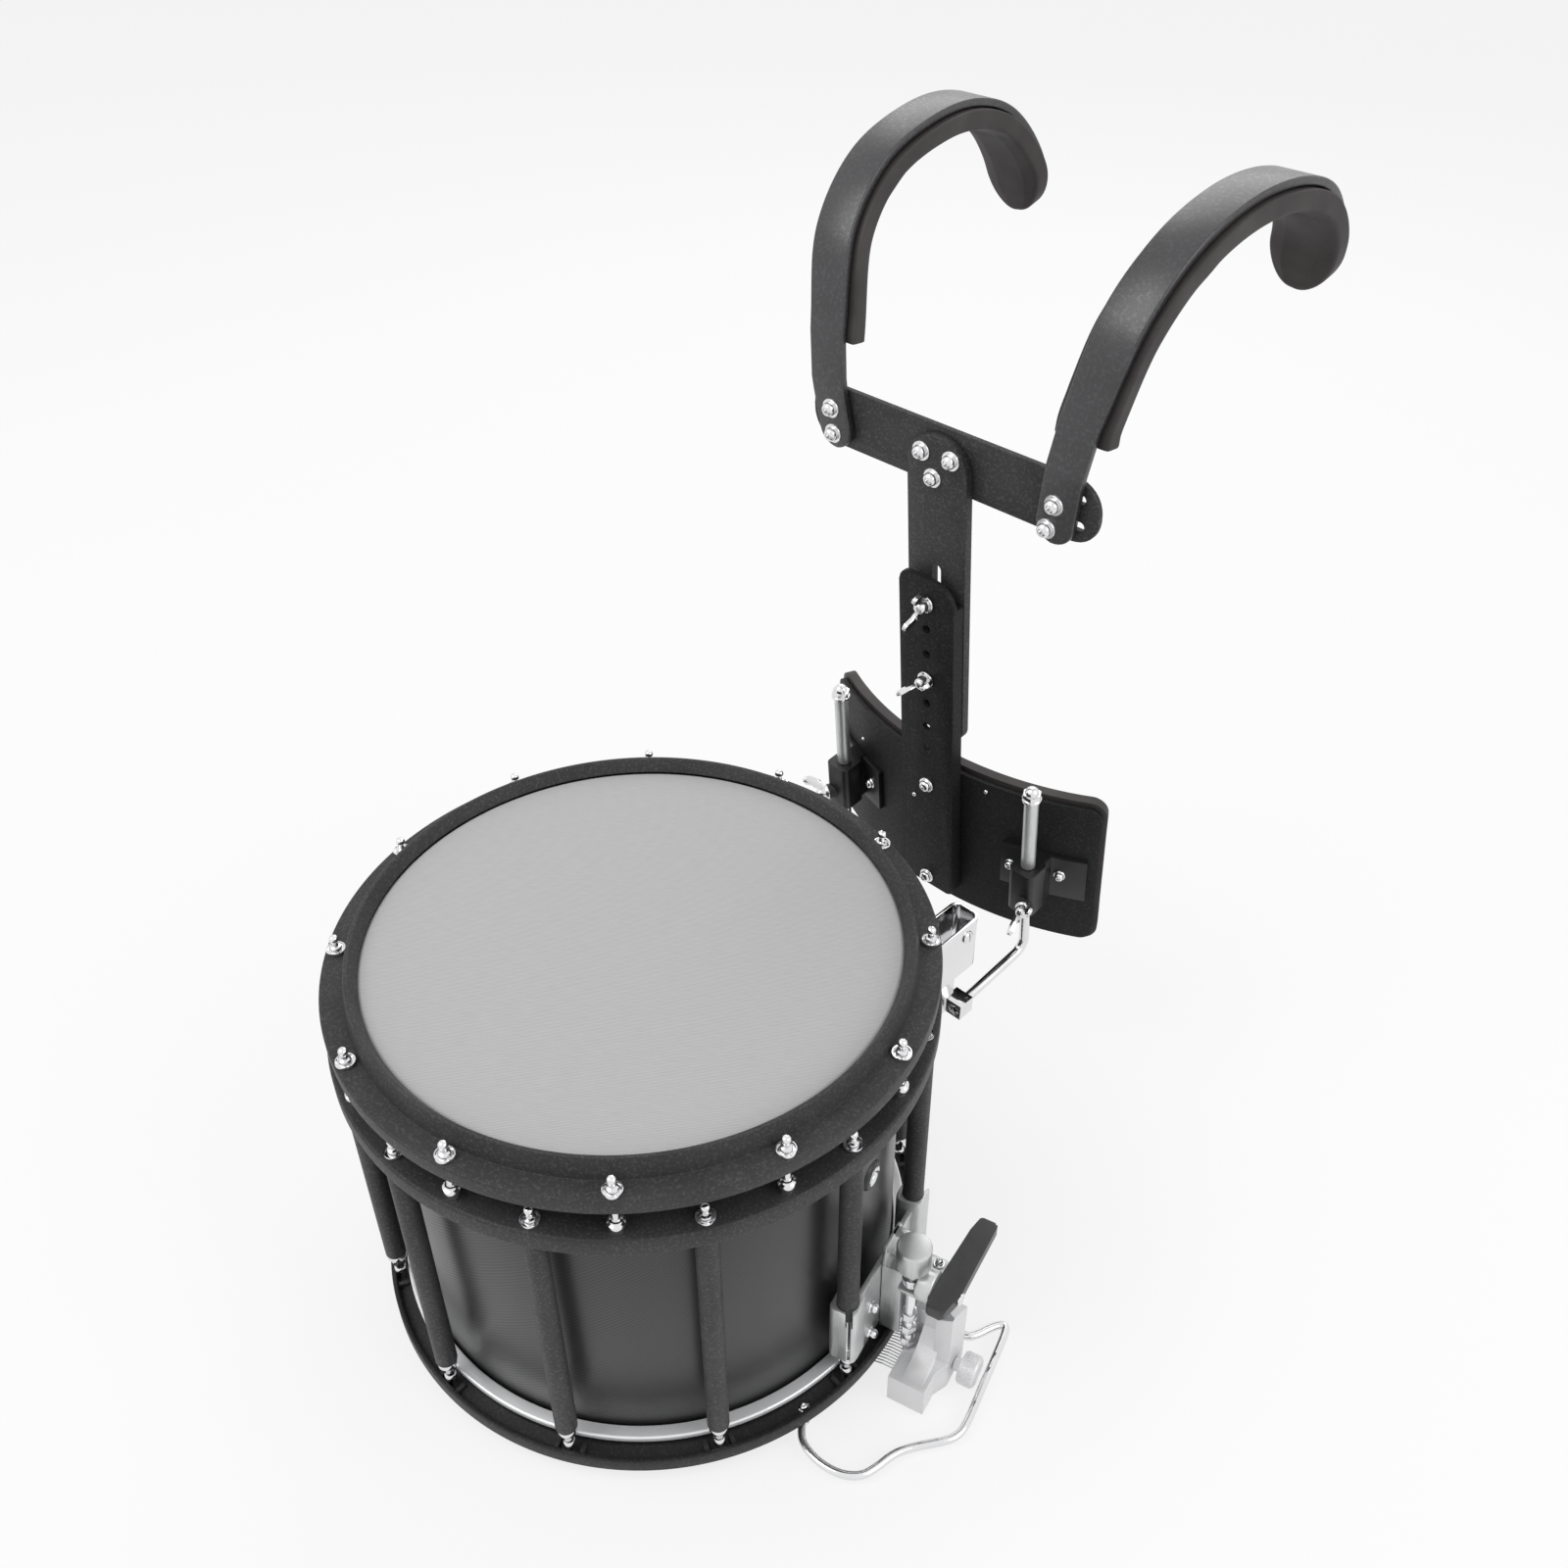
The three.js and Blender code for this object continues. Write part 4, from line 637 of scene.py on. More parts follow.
def from_cad(node: str, width: float, steps: int = 2, angle: float = 35) -> bpy.types.Mesh:
    """A bevelled copy of a CAD node, whose shape is right but whose edges are bare.

    Args:
        node: the node.
        width: the bevel.
        steps: faces in the bevel.
        angle: edges sharper than this are bevelled.

    Returns:
        The copy, in mm.
    """
    bm = bmesh.new()
    bm.from_mesh(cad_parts[node].data)
    bmesh.ops.scale(bm, vec=(1 / MM,) * 3, verts=bm.verts)
    bmesh.ops.remove_doubles(bm, verts=bm.verts, dist=0.004)
    bmesh.ops.dissolve_limit(bm, angle_limit=math.radians(0.6), verts=bm.verts, edges=bm.edges)
    mesh = from_bmesh(bm)
    mesh.materials.clear()
    return softened(mesh, width, steps, angle)


class Repeat:
    """A Geometry Nodes tree that repeats a shape: turned about Z, and stepped along a line."""

    def __init__(self) -> None:
        """Builds the tree once."""
        tree = bpy.data.node_groups.new("repeat", "GeometryNodeTree")
        face = tree.interface
        face.new_socket("Shape", in_out="INPUT", socket_type="NodeSocketGeometry")
        sizes = (
            ("Count", "NodeSocketInt"), ("Start", "NodeSocketFloat"), ("Turn", "NodeSocketFloat"),
            ("Step", "NodeSocketVector"), ("Finish", "NodeSocketMaterial"),
        )
        self.keys = {
            name: face.new_socket(name, in_out="INPUT", socket_type=kind).identifier
            for name, kind in sizes
        }
        face.new_socket("Result", in_out="OUTPUT", socket_type="NodeSocketGeometry")
        add, link = tree.nodes.new, tree.links.new
        given, result = add("NodeGroupInput"), add("NodeGroupOutput")
        points, index = add("GeometryNodePoints"), add("GeometryNodeInputIndex")
        offset, angle = add("ShaderNodeVectorMath"), add("ShaderNodeMath")
        offset.operation, angle.operation = "SCALE", "MULTIPLY_ADD"
        euler = add("ShaderNodeCombineXYZ")
        copies, real = add("GeometryNodeInstanceOnPoints"), add("GeometryNodeRealizeInstances")
        dress = add("GeometryNodeSetMaterial")
        link(given.outputs["Count"], points.inputs["Count"])
        link(given.outputs["Step"], offset.inputs[0])
        link(index.outputs[0], offset.inputs["Scale"])
        link(offset.outputs[0], points.inputs["Position"])
        link(index.outputs[0], angle.inputs[0])
        link(given.outputs["Turn"], angle.inputs[1])
        link(given.outputs["Start"], angle.inputs[2])
        link(angle.outputs[0], euler.inputs["Z"])
        link(points.outputs[0], copies.inputs["Points"])
        link(given.outputs["Shape"], copies.inputs["Instance"])
        link(euler.outputs[0], copies.inputs["Rotation"])
        link(copies.outputs[0], real.inputs[0])
        link(real.outputs[0], dress.inputs["Geometry"])
        link(given.outputs["Finish"], dress.inputs["Material"])
        link(dress.outputs[0], result.inputs[0])
        self.tree = tree

    def run(
        self, shape: bpy.types.Mesh, count: int, finish: Finish,
        start: float = 0.0, turn: float = 0.0, step: Sequence[float] = (0, 0, 0),
    ) -> bpy.types.Mesh:
        """Repeats a shape.

        Args:
            shape: the shape, which is used up.
            count: how many.
            finish: its finish.
            start: the first one's turn, in degrees.
            turn: degrees between two.
            step: the way between two, in mm.

        Returns:
            One mesh of them all.
        """
        values = {
            "Count": count, "Start": math.radians(start), "Turn": math.radians(turn),
            "Step": step, "Finish": finish.material(),
        }

        def setup(obj: bpy.types.Object) -> None:
            """Adds the tree and its sizes."""
            modifier = obj.modifiers.new("repeat", "NODES")
            modifier.node_group = self.tree
            for name, value in values.items():
                modifier[self.keys[name]] = value

        return evaluated(shape, setup)


class Tube:
    """A Geometry Nodes tree that bends a wire along a path and gives it a round section."""

    def __init__(self) -> None:
        """Builds the tree once."""
        tree = bpy.data.node_groups.new("tube", "GeometryNodeTree")
        face = tree.interface
        face.new_socket("Path", in_out="INPUT", socket_type="NodeSocketGeometry")
        sizes = (("Bend", "NodeSocketFloat"), ("Radius", "NodeSocketFloat"), ("Finish", "NodeSocketMaterial"))
        self.keys = {
            name: face.new_socket(name, in_out="INPUT", socket_type=kind).identifier
            for name, kind in sizes
        }
        face.new_socket("Result", in_out="OUTPUT", socket_type="NodeSocketGeometry")
        add, link = tree.nodes.new, tree.links.new
        given, result = add("NodeGroupInput"), add("NodeGroupOutput")
        curve, bend = add("GeometryNodeMeshToCurve"), add("GeometryNodeFilletCurve")
        ring, skin = add("GeometryNodeCurvePrimitiveCircle"), add("GeometryNodeCurveToMesh")
        real, dress = add("GeometryNodeRealizeInstances"), add("GeometryNodeSetMaterial")
        bend.mode = "POLY"
        bend.inputs["Count"].default_value = 9
        bend.inputs["Limit Radius"].default_value = True
        ring.inputs["Resolution"].default_value = 24
        skin.inputs["Fill Caps"].default_value = True
        link(given.outputs["Path"], curve.inputs["Mesh"])
        link(curve.outputs[0], bend.inputs["Curve"])
        link(given.outputs["Bend"], bend.inputs["Radius"])
        link(given.outputs["Radius"], ring.inputs["Radius"])
        link(bend.outputs[0], skin.inputs["Curve"])
        link(ring.outputs[0], skin.inputs["Profile Curve"])
        link(skin.outputs[0], real.inputs[0])
        link(real.outputs[0], dress.inputs["Geometry"])
        link(given.outputs["Finish"], dress.inputs["Material"])
        link(dress.outputs[0], result.inputs[0])
        self.tree = tree

    def run(self, path: Points, diameter: float, bend: float, finish: Finish) -> bpy.types.Mesh:
        """Bends a wire.

        Args:
            path: its corners.
            diameter: the wire's diameter.
            bend: the radius at the corners, to the wire's middle.
            finish: its finish.

        Returns:
            The wire, with closed ends.
        """
        line = bpy.data.meshes.new("path")
        line.from_pydata([tuple(p) for p in path], [(k, k + 1) for k in range(len(path) - 1)], [])

        def setup(obj: bpy.types.Object) -> None:
            """Adds the tree and its sizes."""
            modifier = obj.modifiers.new("tube", "NODES")
            modifier.node_group = self.tree
            modifier[self.keys["Bend"]] = bend
            modifier[self.keys["Radius"]] = diameter / 2
            modifier[self.keys["Finish"]] = finish.material()

        mesh = evaluated(line, setup)
        bm = bmesh.new()
        bm.from_mesh(mesh)
        bpy.data.meshes.remove(mesh)
        bmesh.ops.remove_doubles(bm, verts=bm.verts, dist=0.001)
        return from_bmesh(bm)


REPEAT = Repeat()
TUBE = Tube()


def placed(
    name: str, mesh: bpy.types.Mesh, finish: Finish, body: Body | str, *nodes: str,
    turn: Matrix = Matrix.Identity(4),
) -> bpy.types.Object:
    """Puts a finished piece in the scene.

    Args:
        name: the piece's name.
        mesh: its mesh in mm, in the frame that turn starts from.
        finish: its finish.
        body: what it rides on.
        nodes: the CAD nodes it stands for.
        turn: carries it to the row frame.

    Returns:
        The piece.
    """
    moved(mesh, Matrix.Scale(MM, 4) @ turn)
    mesh.materials.clear()
    mesh.materials.append(finish.material())
    mesh.polygons.foreach_set("material_index", [0] * len(mesh.polygons))
    mesh.shade_smooth()
    mesh.set_sharp_from_angle(angle=SMOOTH_ANGLE)
    mesh.name = name
    piece = bpy.data.objects.new(name, mesh)
    bpy.context.scene.collection.objects.link(piece)
    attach(piece, body.value if isinstance(body, Body) else body)
    if nodes:
        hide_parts(*nodes)
    LOG.info("%s: %d faces on %s", name, len(mesh.polygons), body)
    return piece


def axis_frame(seat: Sequence[float], axis: Sequence[float], spin: float = 0.0) -> Matrix:
    """A frame at a seat whose Z is an axis, turned about it as three.js turns a node.

    Args:
        seat: its origin.
        axis: its Z.
        spin: degrees about Z.

    Returns:
        The frame.
    """
    turn = Vector((0, 0, 1)).rotation_difference(Vector(axis).normalized())
    return Matrix.Translation(seat) @ turn.to_matrix().to_4x4() @ Matrix.Rotation(math.radians(spin), 4, "Z")


def cap_bolt(diameter: float, height: float, washer: float = 0.0) -> bpy.types.Mesh:
    """A domed cap bolt's head on its washer, with its socket, standing on Z = 0."""
    half, rim = diameter / 2, washer / 2
    seat = 1.3 if washer else 0.0
    ring = [(rim, 0), (rim, seat * 0.6), (rim - 0.4, seat)] if washer else []
    dome = [(half * share, seat + height * rise) for share, rise in (
        (1, 0.25), (0.93, 0.6), (0.74, 0.88), (0.45, 1), (0.38, 0.97), (0.36, 0.45), (0, 0.4),
    )]
    return lathe([(0, 0), *ring, (half, seat), *dome], 24)


def hex_nut(across: float, height: float, bore: float) -> bpy.types.Mesh:
    """A hexagon nut with eased corners, standing on Z = 0."""
    half = across / math.sqrt(3)
    corners = [(half * math.cos(math.tau * k / 6), half * math.sin(math.tau * k / 6)) for k in range(6)]
    blank = prism(eased(corners, 0.6, 2), 0, height, 0.7)
    return carved(blank, lathe([(0, -1), (bore / 2, -1), (bore / 2, height + 1), (0, height + 1)], 20))


# ---------------------------------------------------------------------------------- the drum


@dataclass
class Shell:
    """The shell with its vent, and both heads with their flesh hoops."""

    depth: float = 305.0
    radius: float = 177.8
    wall: float = 7.0
    skin: float = 0.8
    flat: float = 174.8
    collar: float = 180.2
    bend: float = 4.6
    hoop_inner: float = 179.2
    hoop_outer: float = 188.5
    hoop_top: float = -14.0
    hoop_height: float = 11.0
    vent_drop: float = 133.0
    vent: float = 12.0
    steps: int = 192

    def flip(self, mesh: bpy.types.Mesh) -> bpy.types.Mesh:
        """Turns a batter-side piece over to the snare side."""
        return moved(mesh, Matrix.Translation((0, 0, -self.depth)) @ Matrix.Diagonal((1, 1, -1, 1)))

    def wall_mesh(self) -> bpy.types.Mesh:
        """The shell's wall, with bearing edges at both ends and the vent through it."""
        edge = [
            (self.radius - self.wall, -8.0), (self.flat - 2.4, -1.15), (self.flat - 0.9, -1.15),
            (self.radius - 0.4, -4.6), (self.radius, -6.0),
        ]
        foot = [(r, -self.depth - z) for r, z in reversed(edge)]
        wall = lathe(edge + foot, self.steps, True)
        drill = lathe([(0, 150), (self.vent / 2, 150), (self.vent / 2, 200), (0, 200)], 32)
        return carved(wall, moved(drill, self.vent_frame()))

    def vent_frame(self) -> Matrix:
        """A frame on the drum's axis, level with the vent, whose Z points out through it."""
        return STRAINER @ Matrix.Translation((0, 0, -self.vent_drop)) @ Z_TO_X

    def skin_mesh(self) -> bpy.types.Mesh:
        """A head: flat, turned down at a round collar and tucked into its hoop."""
        deep = self.hoop_top - self.hoop_height + 2
        top = eased([(self.flat * 0.5, 0), (self.flat, 0), (self.collar, -self.bend), (self.collar, deep)],
                    3.0, 4, False)
        inner = self.collar - self.skin
        under = eased([(inner, deep), (inner, -self.bend - 0.5), (self.flat - 0.4, -self.skin),
                       (self.flat * 0.5, -self.skin)], 2.4, 4, False)
        rings = [(self.flat * k / 6, 0.0) for k in (0, 1, 2)]
        return lathe([*rings, *top, *under, *[(r, -self.skin) for r, _ in reversed(rings)]], self.steps)

    def hoop_mesh(self) -> bpy.types.Mesh:
        """A flesh hoop: a rolled metal channel that grips the head."""
        low = self.hoop_top - self.hoop_height
        corners = [(self.collar + 0.05, self.hoop_top), (self.collar + 1.8, self.hoop_top),
                   (self.hoop_outer, self.hoop_top - 6.4), (self.hoop_outer, low),
                   (self.hoop_inner, low), (self.hoop_inner, low + 2)]
        return lathe(eased(corners, [0.6, 1.6, 2.4, 1.6, 0.8, 0]), self.steps, True)

    def build(self) -> None:
        """Places the shell, the vent's grommet, the heads and their hoops."""
        placed("shell_wrapped", self.wall_mesh(), WRAP, Body.DRUM, "shell")
        half, out = self.vent / 2, self.radius
        flange = lathe(eased([
            (half, out + 1.6), (half + 3.6, out + 1.9), (half + 5.6, out - 0.5), (half - 0.1, out - 0.8),
            (half - 0.1, out - self.wall - 2), (half - 1.2, out - self.wall - 2), (half - 1.2, out + 0.4),
        ], [1.2, 2.0, 0.3, 0, 0, 0, 0.3]), 56, True)
        placed("vent_grommet", flange, DARK_RUBBER, Body.DRUM, turn=self.vent_frame())
        eyelet = lathe(eased([
            (half - 2.6, out - self.wall), (half - 2.6, out + 1.0), (half + 1.3, out + 2.5),
            (half + 1.1, out + 1.7), (half - 1.3, out + 0.4), (half - 1.3, out - self.wall),
        ], [0, 1.2, 0.3, 0.2, 0.4, 0]), 56, True)
        placed("vent_eyelet", eyelet, CHROME, Body.DRUM, turn=self.vent_frame())
        placed("batter_cloth_head", self.skin_mesh(), HEAD, Body.DRUM, "batter_head")
        placed("batter_flesh_hoop", self.hoop_mesh(), HOOP_METAL, Body.DRUM)
        placed("snare_film_head", self.flip(self.skin_mesh()), FILM, Body.DRUM, "snare_head")
        placed("snare_flesh_hoop", self.flip(self.hoop_mesh()), HOOP_METAL, Body.DRUM)


@dataclass
class Hoops:
    """The two counter hoops and the lug ring with its tubes."""

    depth: float = 305.0
    lip: float = 176.2
    lip_width: float = 4.3
    rim_lean: float = 5.1
    rim_width: float = 2.4
    bore: float = 180.6
    flange: float = 187.0
    outer: float = 201.4
    flange_drop: float = 6.0
    flange_thick: float = 5.0
    underside: float = -13.7
    wall: float = 3.4
    wall_drop: float = 18.0
    batter_rise: float = 9.2
    snare_rise: float = 4.5
    gate: float = 50.0
    gate_aside: float = -8.0
    gate_out: float = 187.5
    gate_reach: float = 25.0
    gate_deep: float = 12.0
    rod_circle: float = 194.2
    rod_count: int = 12
    rod_pitch: float = 30.0
    rib_aside: float = 9.0
    rib_inner: float = 189.4
    rib_half: float = 1.6
    rib_height: float = 4.4
    ring_top: float = -41.0
    ring_low: float = -55.0
    ring_inner: float = 178.4
    ring_outer: float = 203.0
    tube: float = 15.0
    tube_bore: float = 7.2
    tube_low: float = -263.4
    short_tube_low: float = -217.0
    steps: int = 240

    def section(self, rise: float, lean: float, width: float) -> list[Vector]:
        """A hoop's section: the lip by the head, the flange for the rods and the wall below it.

        Args:
            rise: how far the lip stands above the head.
            lean: how far the lip's inner face leans out on its way up.
            width: the breadth of the lip's top.

        Returns:
            The closed outline, radius against height.
        """
        top = self.lip + lean
        corners = [
            (self.lip, 0.3, 0.3), (top, rise, 1.1), (top + width, rise, 1.1),
            (self.flange, -self.flange_drop, 0.5), (self.outer, -self.flange_drop, 1.5),
            (self.outer, -self.wall_drop, 1.0), (self.outer - self.wall, -self.wall_drop, 0.9),
            (self.outer - self.wall, -self.flange_drop - self.flange_thick, 0.6),
            (self.flange, self.underside, 0.8), (self.bore, self.underside, 0.5), (self.bore, 0.3, 0.2),
        ]
        return eased([(r, z) for r, z, _ in corners], [size for _, _, size in corners])

    def snare_hoop(self) -> bpy.types.Mesh:
        """The snare hoop, with the snares' gates at both ends."""
        section = self.section(self.snare_rise, 0.0, self.lip_width)
        hoop = lathe([(r, -self.depth - z) for r, z in section], self.steps, True)
        half, low, high = self.gate / 2, -self.depth - self.gate_deep, -self.depth + self.flange_drop
        gates = [
            moved(rounded_box(
                (out - self.gate_reach, self.gate_aside - half, low),
                (out + self.gate_reach, self.gate_aside + half, high), 3.0, 0.2,
            ), STRAINER)
            for out in (-self.gate_out, self.gate_out)
        ]
        return carved(hoop, *gates)

    def build(self) -> None:
        """Places both hoops, the ribs in the snare hoop's channel, the ring and its tubes."""
        batter = lathe(self.section(self.batter_rise, self.rim_lean, self.rim_width), self.steps, True)
        placed("batter_counter_hoop", batter, POWDER, Body.DRUM, "batter_hoop")
        # The snare hoop takes the darker powder copy, whose colour holds painted shade.
        placed("snare_counter_hoop", self.snare_hoop(), SHADED_POWDER, Body.DRUM, "snare_hoop")
        floor = -self.depth + self.flange_drop + self.flange_thick
        low = (self.rib_inner, -self.rib_half, floor - 1)
        high = (self.outer - self.wall + 0.4, self.rib_half, floor + self.rib_height)
        for name, aside in (("left", -self.rib_aside), ("right", self.rib_aside)):
            turn = math.degrees(aside / self.rod_circle)
            rib = rounded_box(low, high, 0.5, 0.4)
            placed(f"channel_ribs_{name}", REPEAT.run(rib, self.rod_count, POWDER, turn, self.rod_pitch),
                   POWDER, Body.DRUM)
        ring = eased([
            (self.ring_inner, self.ring_top), (self.ring_outer, self.ring_top),
            (self.ring_outer, self.ring_low), (self.ring_inner, self.ring_low),
        ], [1.0, 2.2, 1.4, 0.8])
        placed("lug_ring_band", lathe(ring, self.steps, True), POWDER, Body.DRUM, "lug_ring")
        tubes = (("long", self.tube_low, 10, 2), ("short", self.short_tube_low, 2, 0))
        for name, foot, count, first in tubes:
            wall = eased([
                (self.tube_bore / 2, self.ring_low + 1), (self.tube / 2 + 1.2, self.ring_low + 1),
                (self.tube / 2, self.ring_low - 2), (self.tube / 2, foot), (self.tube_bore / 2, foot),
            ], [0, 0, 1.5, 0.9, 0.5])
            tube = moved(lathe(wall, 40, True), Matrix.Translation((self.rod_circle, 0, 0)))
            row = REPEAT.run(tube, count, POWDER, first * self.rod_pitch, self.rod_pitch)
            placed(f"{name}_tubes", row, POWDER, Body.DRUM)


@dataclass
class Rods:
    """The tension rods: twelve from the batter hoop to the ring, twelve through the tubes."""

    circle: float = 194.2
    shaft: float = 2.9
    top_seat: float = -6.0
    ring_seat: float = -41.0
    top_tail: float = -57.0
    foot: float = -263.7
    low_tail: float = -299.0
    count: int = 12
    pitch: float = 30.0

    def head(self, seat: float) -> list[tuple[float, float]]:
        """The part above a seat: a dished washer and a necked post with a round head."""
        return seated(
            seat, (0, 12.8), (1.5, 12.6), (2.6, 11.8), (3.1, 10.4), (3.0, 9.0), (2.3, 7.8), (2.1, 6.8),
            (2.2, 4.6), (3.6, 4.0), (4.0, 3.2), (4.0, 1.1), (5.3, 1.0), (5.6, 2.3), (6.2, 2.3), (6.5, 1.2),
            (6.3, 0.3), (self.shaft, 0.3),
        )

    def top_rod(self) -> bpy.types.Mesh:
        """A top rod with its collar nut on the ring."""
        nut = seated(
            self.ring_seat, (self.shaft, 10.2), (3.9, 9.9), (4.3, 8.6), (5.6, 7.8), (5.75, 6.6), (5.75, 4.4),
            (5.0, 3.2), (4.3, 2.7), (4.5, 0.3), (self.shaft, 0.3),
        )
        return lathe([*self.head(self.top_seat), *nut, (self.shaft, self.top_tail + 0.8),
                      (self.shaft - 0.7, self.top_tail), (0, self.top_tail)], 28)

    def bottom_rod(self) -> bpy.types.Mesh:
        """A bottom rod with the cone under its tube and the ball over the snare hoop."""
        cone = seated(
            self.foot, (self.shaft, 1), (self.shaft, 0), (6.3, 0), (6.7, -0.6), (6.7, -4.4), (6.0, -5.6),
            (4.2, -12.0), (3.6, -13.6), (3.5, -16.6), (4.1, -17.4), (4.3, -19.4), (4.2, -23.4), (3.5, -25.0),
            (self.shaft, -25.4),
        )
        tail = [(self.shaft, self.low_tail), (0, self.low_tail)]
        return lathe([*self.head(self.ring_seat), *cone, *tail], 28)

    def build(self) -> None:
        """Places both sets."""
        for name, make, start in (("top", self.top_rod, self.pitch / 2), ("bottom", self.bottom_rod, 0.0)):
            rod = moved(make(), Matrix.Translation((self.circle, 0, 0)))
            nodes = [f"{name}_rod_{k + 1}" for k in range(self.count)]
            placed(f"{name}_tension_rods", REPEAT.run(rod, self.count, CHROME, start, self.pitch),
                   CHROME, Body.DRUM, *nodes)


@dataclass
class Strainer:
    """The strainer with its bracket, guide, lever, carriage, knobs and guard, and the butt."""

    base: float = 187.58
    aside: float = 50.26
    clamp: float = 20.0
    clamp_top: float = -204.0
    clamp_height: float = 55.0
    tube_socket: float = 13.0
    tube_bore: float = 7.8
    rod_bore: float = 4.0
    slit_turn: float = 58.0
    plate_outer: float = 191.98
    plate_top: float = -212.0
    plate_low: float = -282.0
    plate_bolts: Points = ((-22.5, -243.0), (-22.5, -274.0), (27.0, -243.0), (27.0, -274.0))
    channel_front: float = -8.0
    channel_back: float = 16.0
    channel_deep: float = 15.8
    channel_wall: float = 3.0
    channel_low: float = -284.0
    channel_top: float = -213.0
    upper_shelf: float = -192.6
    lower_shelf: float = -210.0
    boss: float = 11.5
    boss_inner: float = 222.98
    boss_outer: float = 233.98
    screw_out: float = 217.38
    screw_aside: float = -13.5
    screw_hole: float = 3.6
    screw_low: float = -294.0
    thread: tuple[int, int] = (212, 292)
    nut_drops: tuple[float, ...] = (241.0, 256.0, 270.0)
    lever_inner: float = 234.28
    lever_width: float = 18.0
    lever_thick: float = 9.0
    lever_throw: float = 64.0
    lever_tail: float = 18.5
    pivot_aside: float = -12.0
    pivot_z: float = -204.5
    clamp_knob_out: float = 250.18
    clamp_knob_aside: float = -4.0
    clamp_knob_z: float = -293.5
    clamp_knob_ridges: int = 48
    guard_z: float = -302.3
    guard_wire: float = 6.0
    guard_bolt_out: float = 193.7
    guard_bolt_turn: float = -26.2
    guard_bolt_z: float = -294.0
    butt_bolts: Points = (
        (191.98, -24.0, -240.0), (191.98, 24.0, -240.0), (214.0, -12.0, -297.5), (214.0, 28.0, -297.5),
    )

    def tube_clamp(self, side: int) -> bpy.types.Mesh:
        """A cast clamp: rounded, with a bore for the rod and tube and a slit down its side.

        Args:
            side: which of the two tubes.

        Returns:
            The clamp, in the strainer's frame.
        """
        half, y, top = self.clamp / 2, side * self.aside, self.clamp_top
        foot, shelf = top - self.clamp_height, top - self.tube_socket
        block = rounded_box((self.base - half, y - half, foot), (self.base + half, y + half, top), 4.6, 0.8)
        bores = [
            lathe([(0, shelf), (self.tube_bore, shelf), (self.tube_bore, top + 1), (0, top + 1)], 40),
            lathe([(0, foot - 1), (self.rod_bore, foot - 1), (self.rod_bore, top), (0, top)], 32),
        ]
        slits = [
            prism([(0, -1.4), (half + 6, -1.4), (half + 6, 1.4), (0, 1.4)], foot - 1, shelf - 0.1),
            prism([(7, -2.4), (half + 6, -2.4), (half + 6, 2.4), (7, 2.4)], shelf - 0.2, top + 1),
        ]
        place = Matrix.Translation((self.base, y, 0))
        turn = place @ Matrix.Rotation(side * math.radians(self.slit_turn), 4, "Z")
        cutters = [moved(bore, place) for bore in bores] + [moved(slit, turn) for slit in slits]
        return softened(carved(block, *cutters), 0.4, 1, 60)

    def bolts(self, seats: Points, *sizes: float) -> bpy.types.Mesh:
        """Cap bolts that point outward.

        Args:
            seats: their places: out, aside and height.
            sizes: a bolt's sizes, as cap_bolt takes them.

        Returns:
            One mesh of them all.
        """
        return joined(*[moved(cap_bolt(*sizes), Matrix.Translation(seat) @ Z_TO_X) for seat in seats])

    def bracket(self) -> None:
        """Two tube clamps, the plate between them and its screws."""
        reach = self.aside - self.clamp / 2 + 1.8
        low, high = (-reach, self.plate_low, self.base + 0.4), (reach, self.plate_top, self.plate_outer)
        plate = moved(rounded_box(low, high, 1.2, 0.5), ALL_ROUND)
        clamps = [self.tube_clamp(side) for side in (-1, 1)]
        placed("strainer_clamps", joined(*clamps, plate), SATIN, Body.DRUM, "strainer_bracket", turn=STRAINER)
        bolts = self.bolts([(self.plate_outer, t, z) for t, z in self.plate_bolts], 7.6, 4.4, 10.0)
        placed("bracket_bolts", bolts, CHROME, Body.DRUM, turn=STRAINER)

    def shelves(self, inner: float) -> bpy.types.Mesh:
        """The two shelves that the tension screw goes through.

        Args:
            inner: where the channel's web starts.

        Returns:
            The shelves.
        """
        top, low = self.upper_shelf, self.lower_shelf
        upper = rounded_box((inner + 10.5, -20.5, top - 2), (self.screw_out + 5, 8, top), 2.4, 0.4)
        lower = joined(rounded_box((inner + 17.5, -21, low - 3), (inner + 41.7, 15, low), 2.4, 0.5),
                       rounded_box((inner + 1, 2, low - 2.8), (inner + 19, 14, low - 0.2), 1.0, 0.4))
        drill = lathe([(0, -230), (self.screw_hole, -230), (self.screw_hole, -180), (0, -180)], 32)
        place = Matrix.Translation((self.screw_out, self.screw_aside, 0))
        return carved(joined(upper, lower), moved(drill, place))

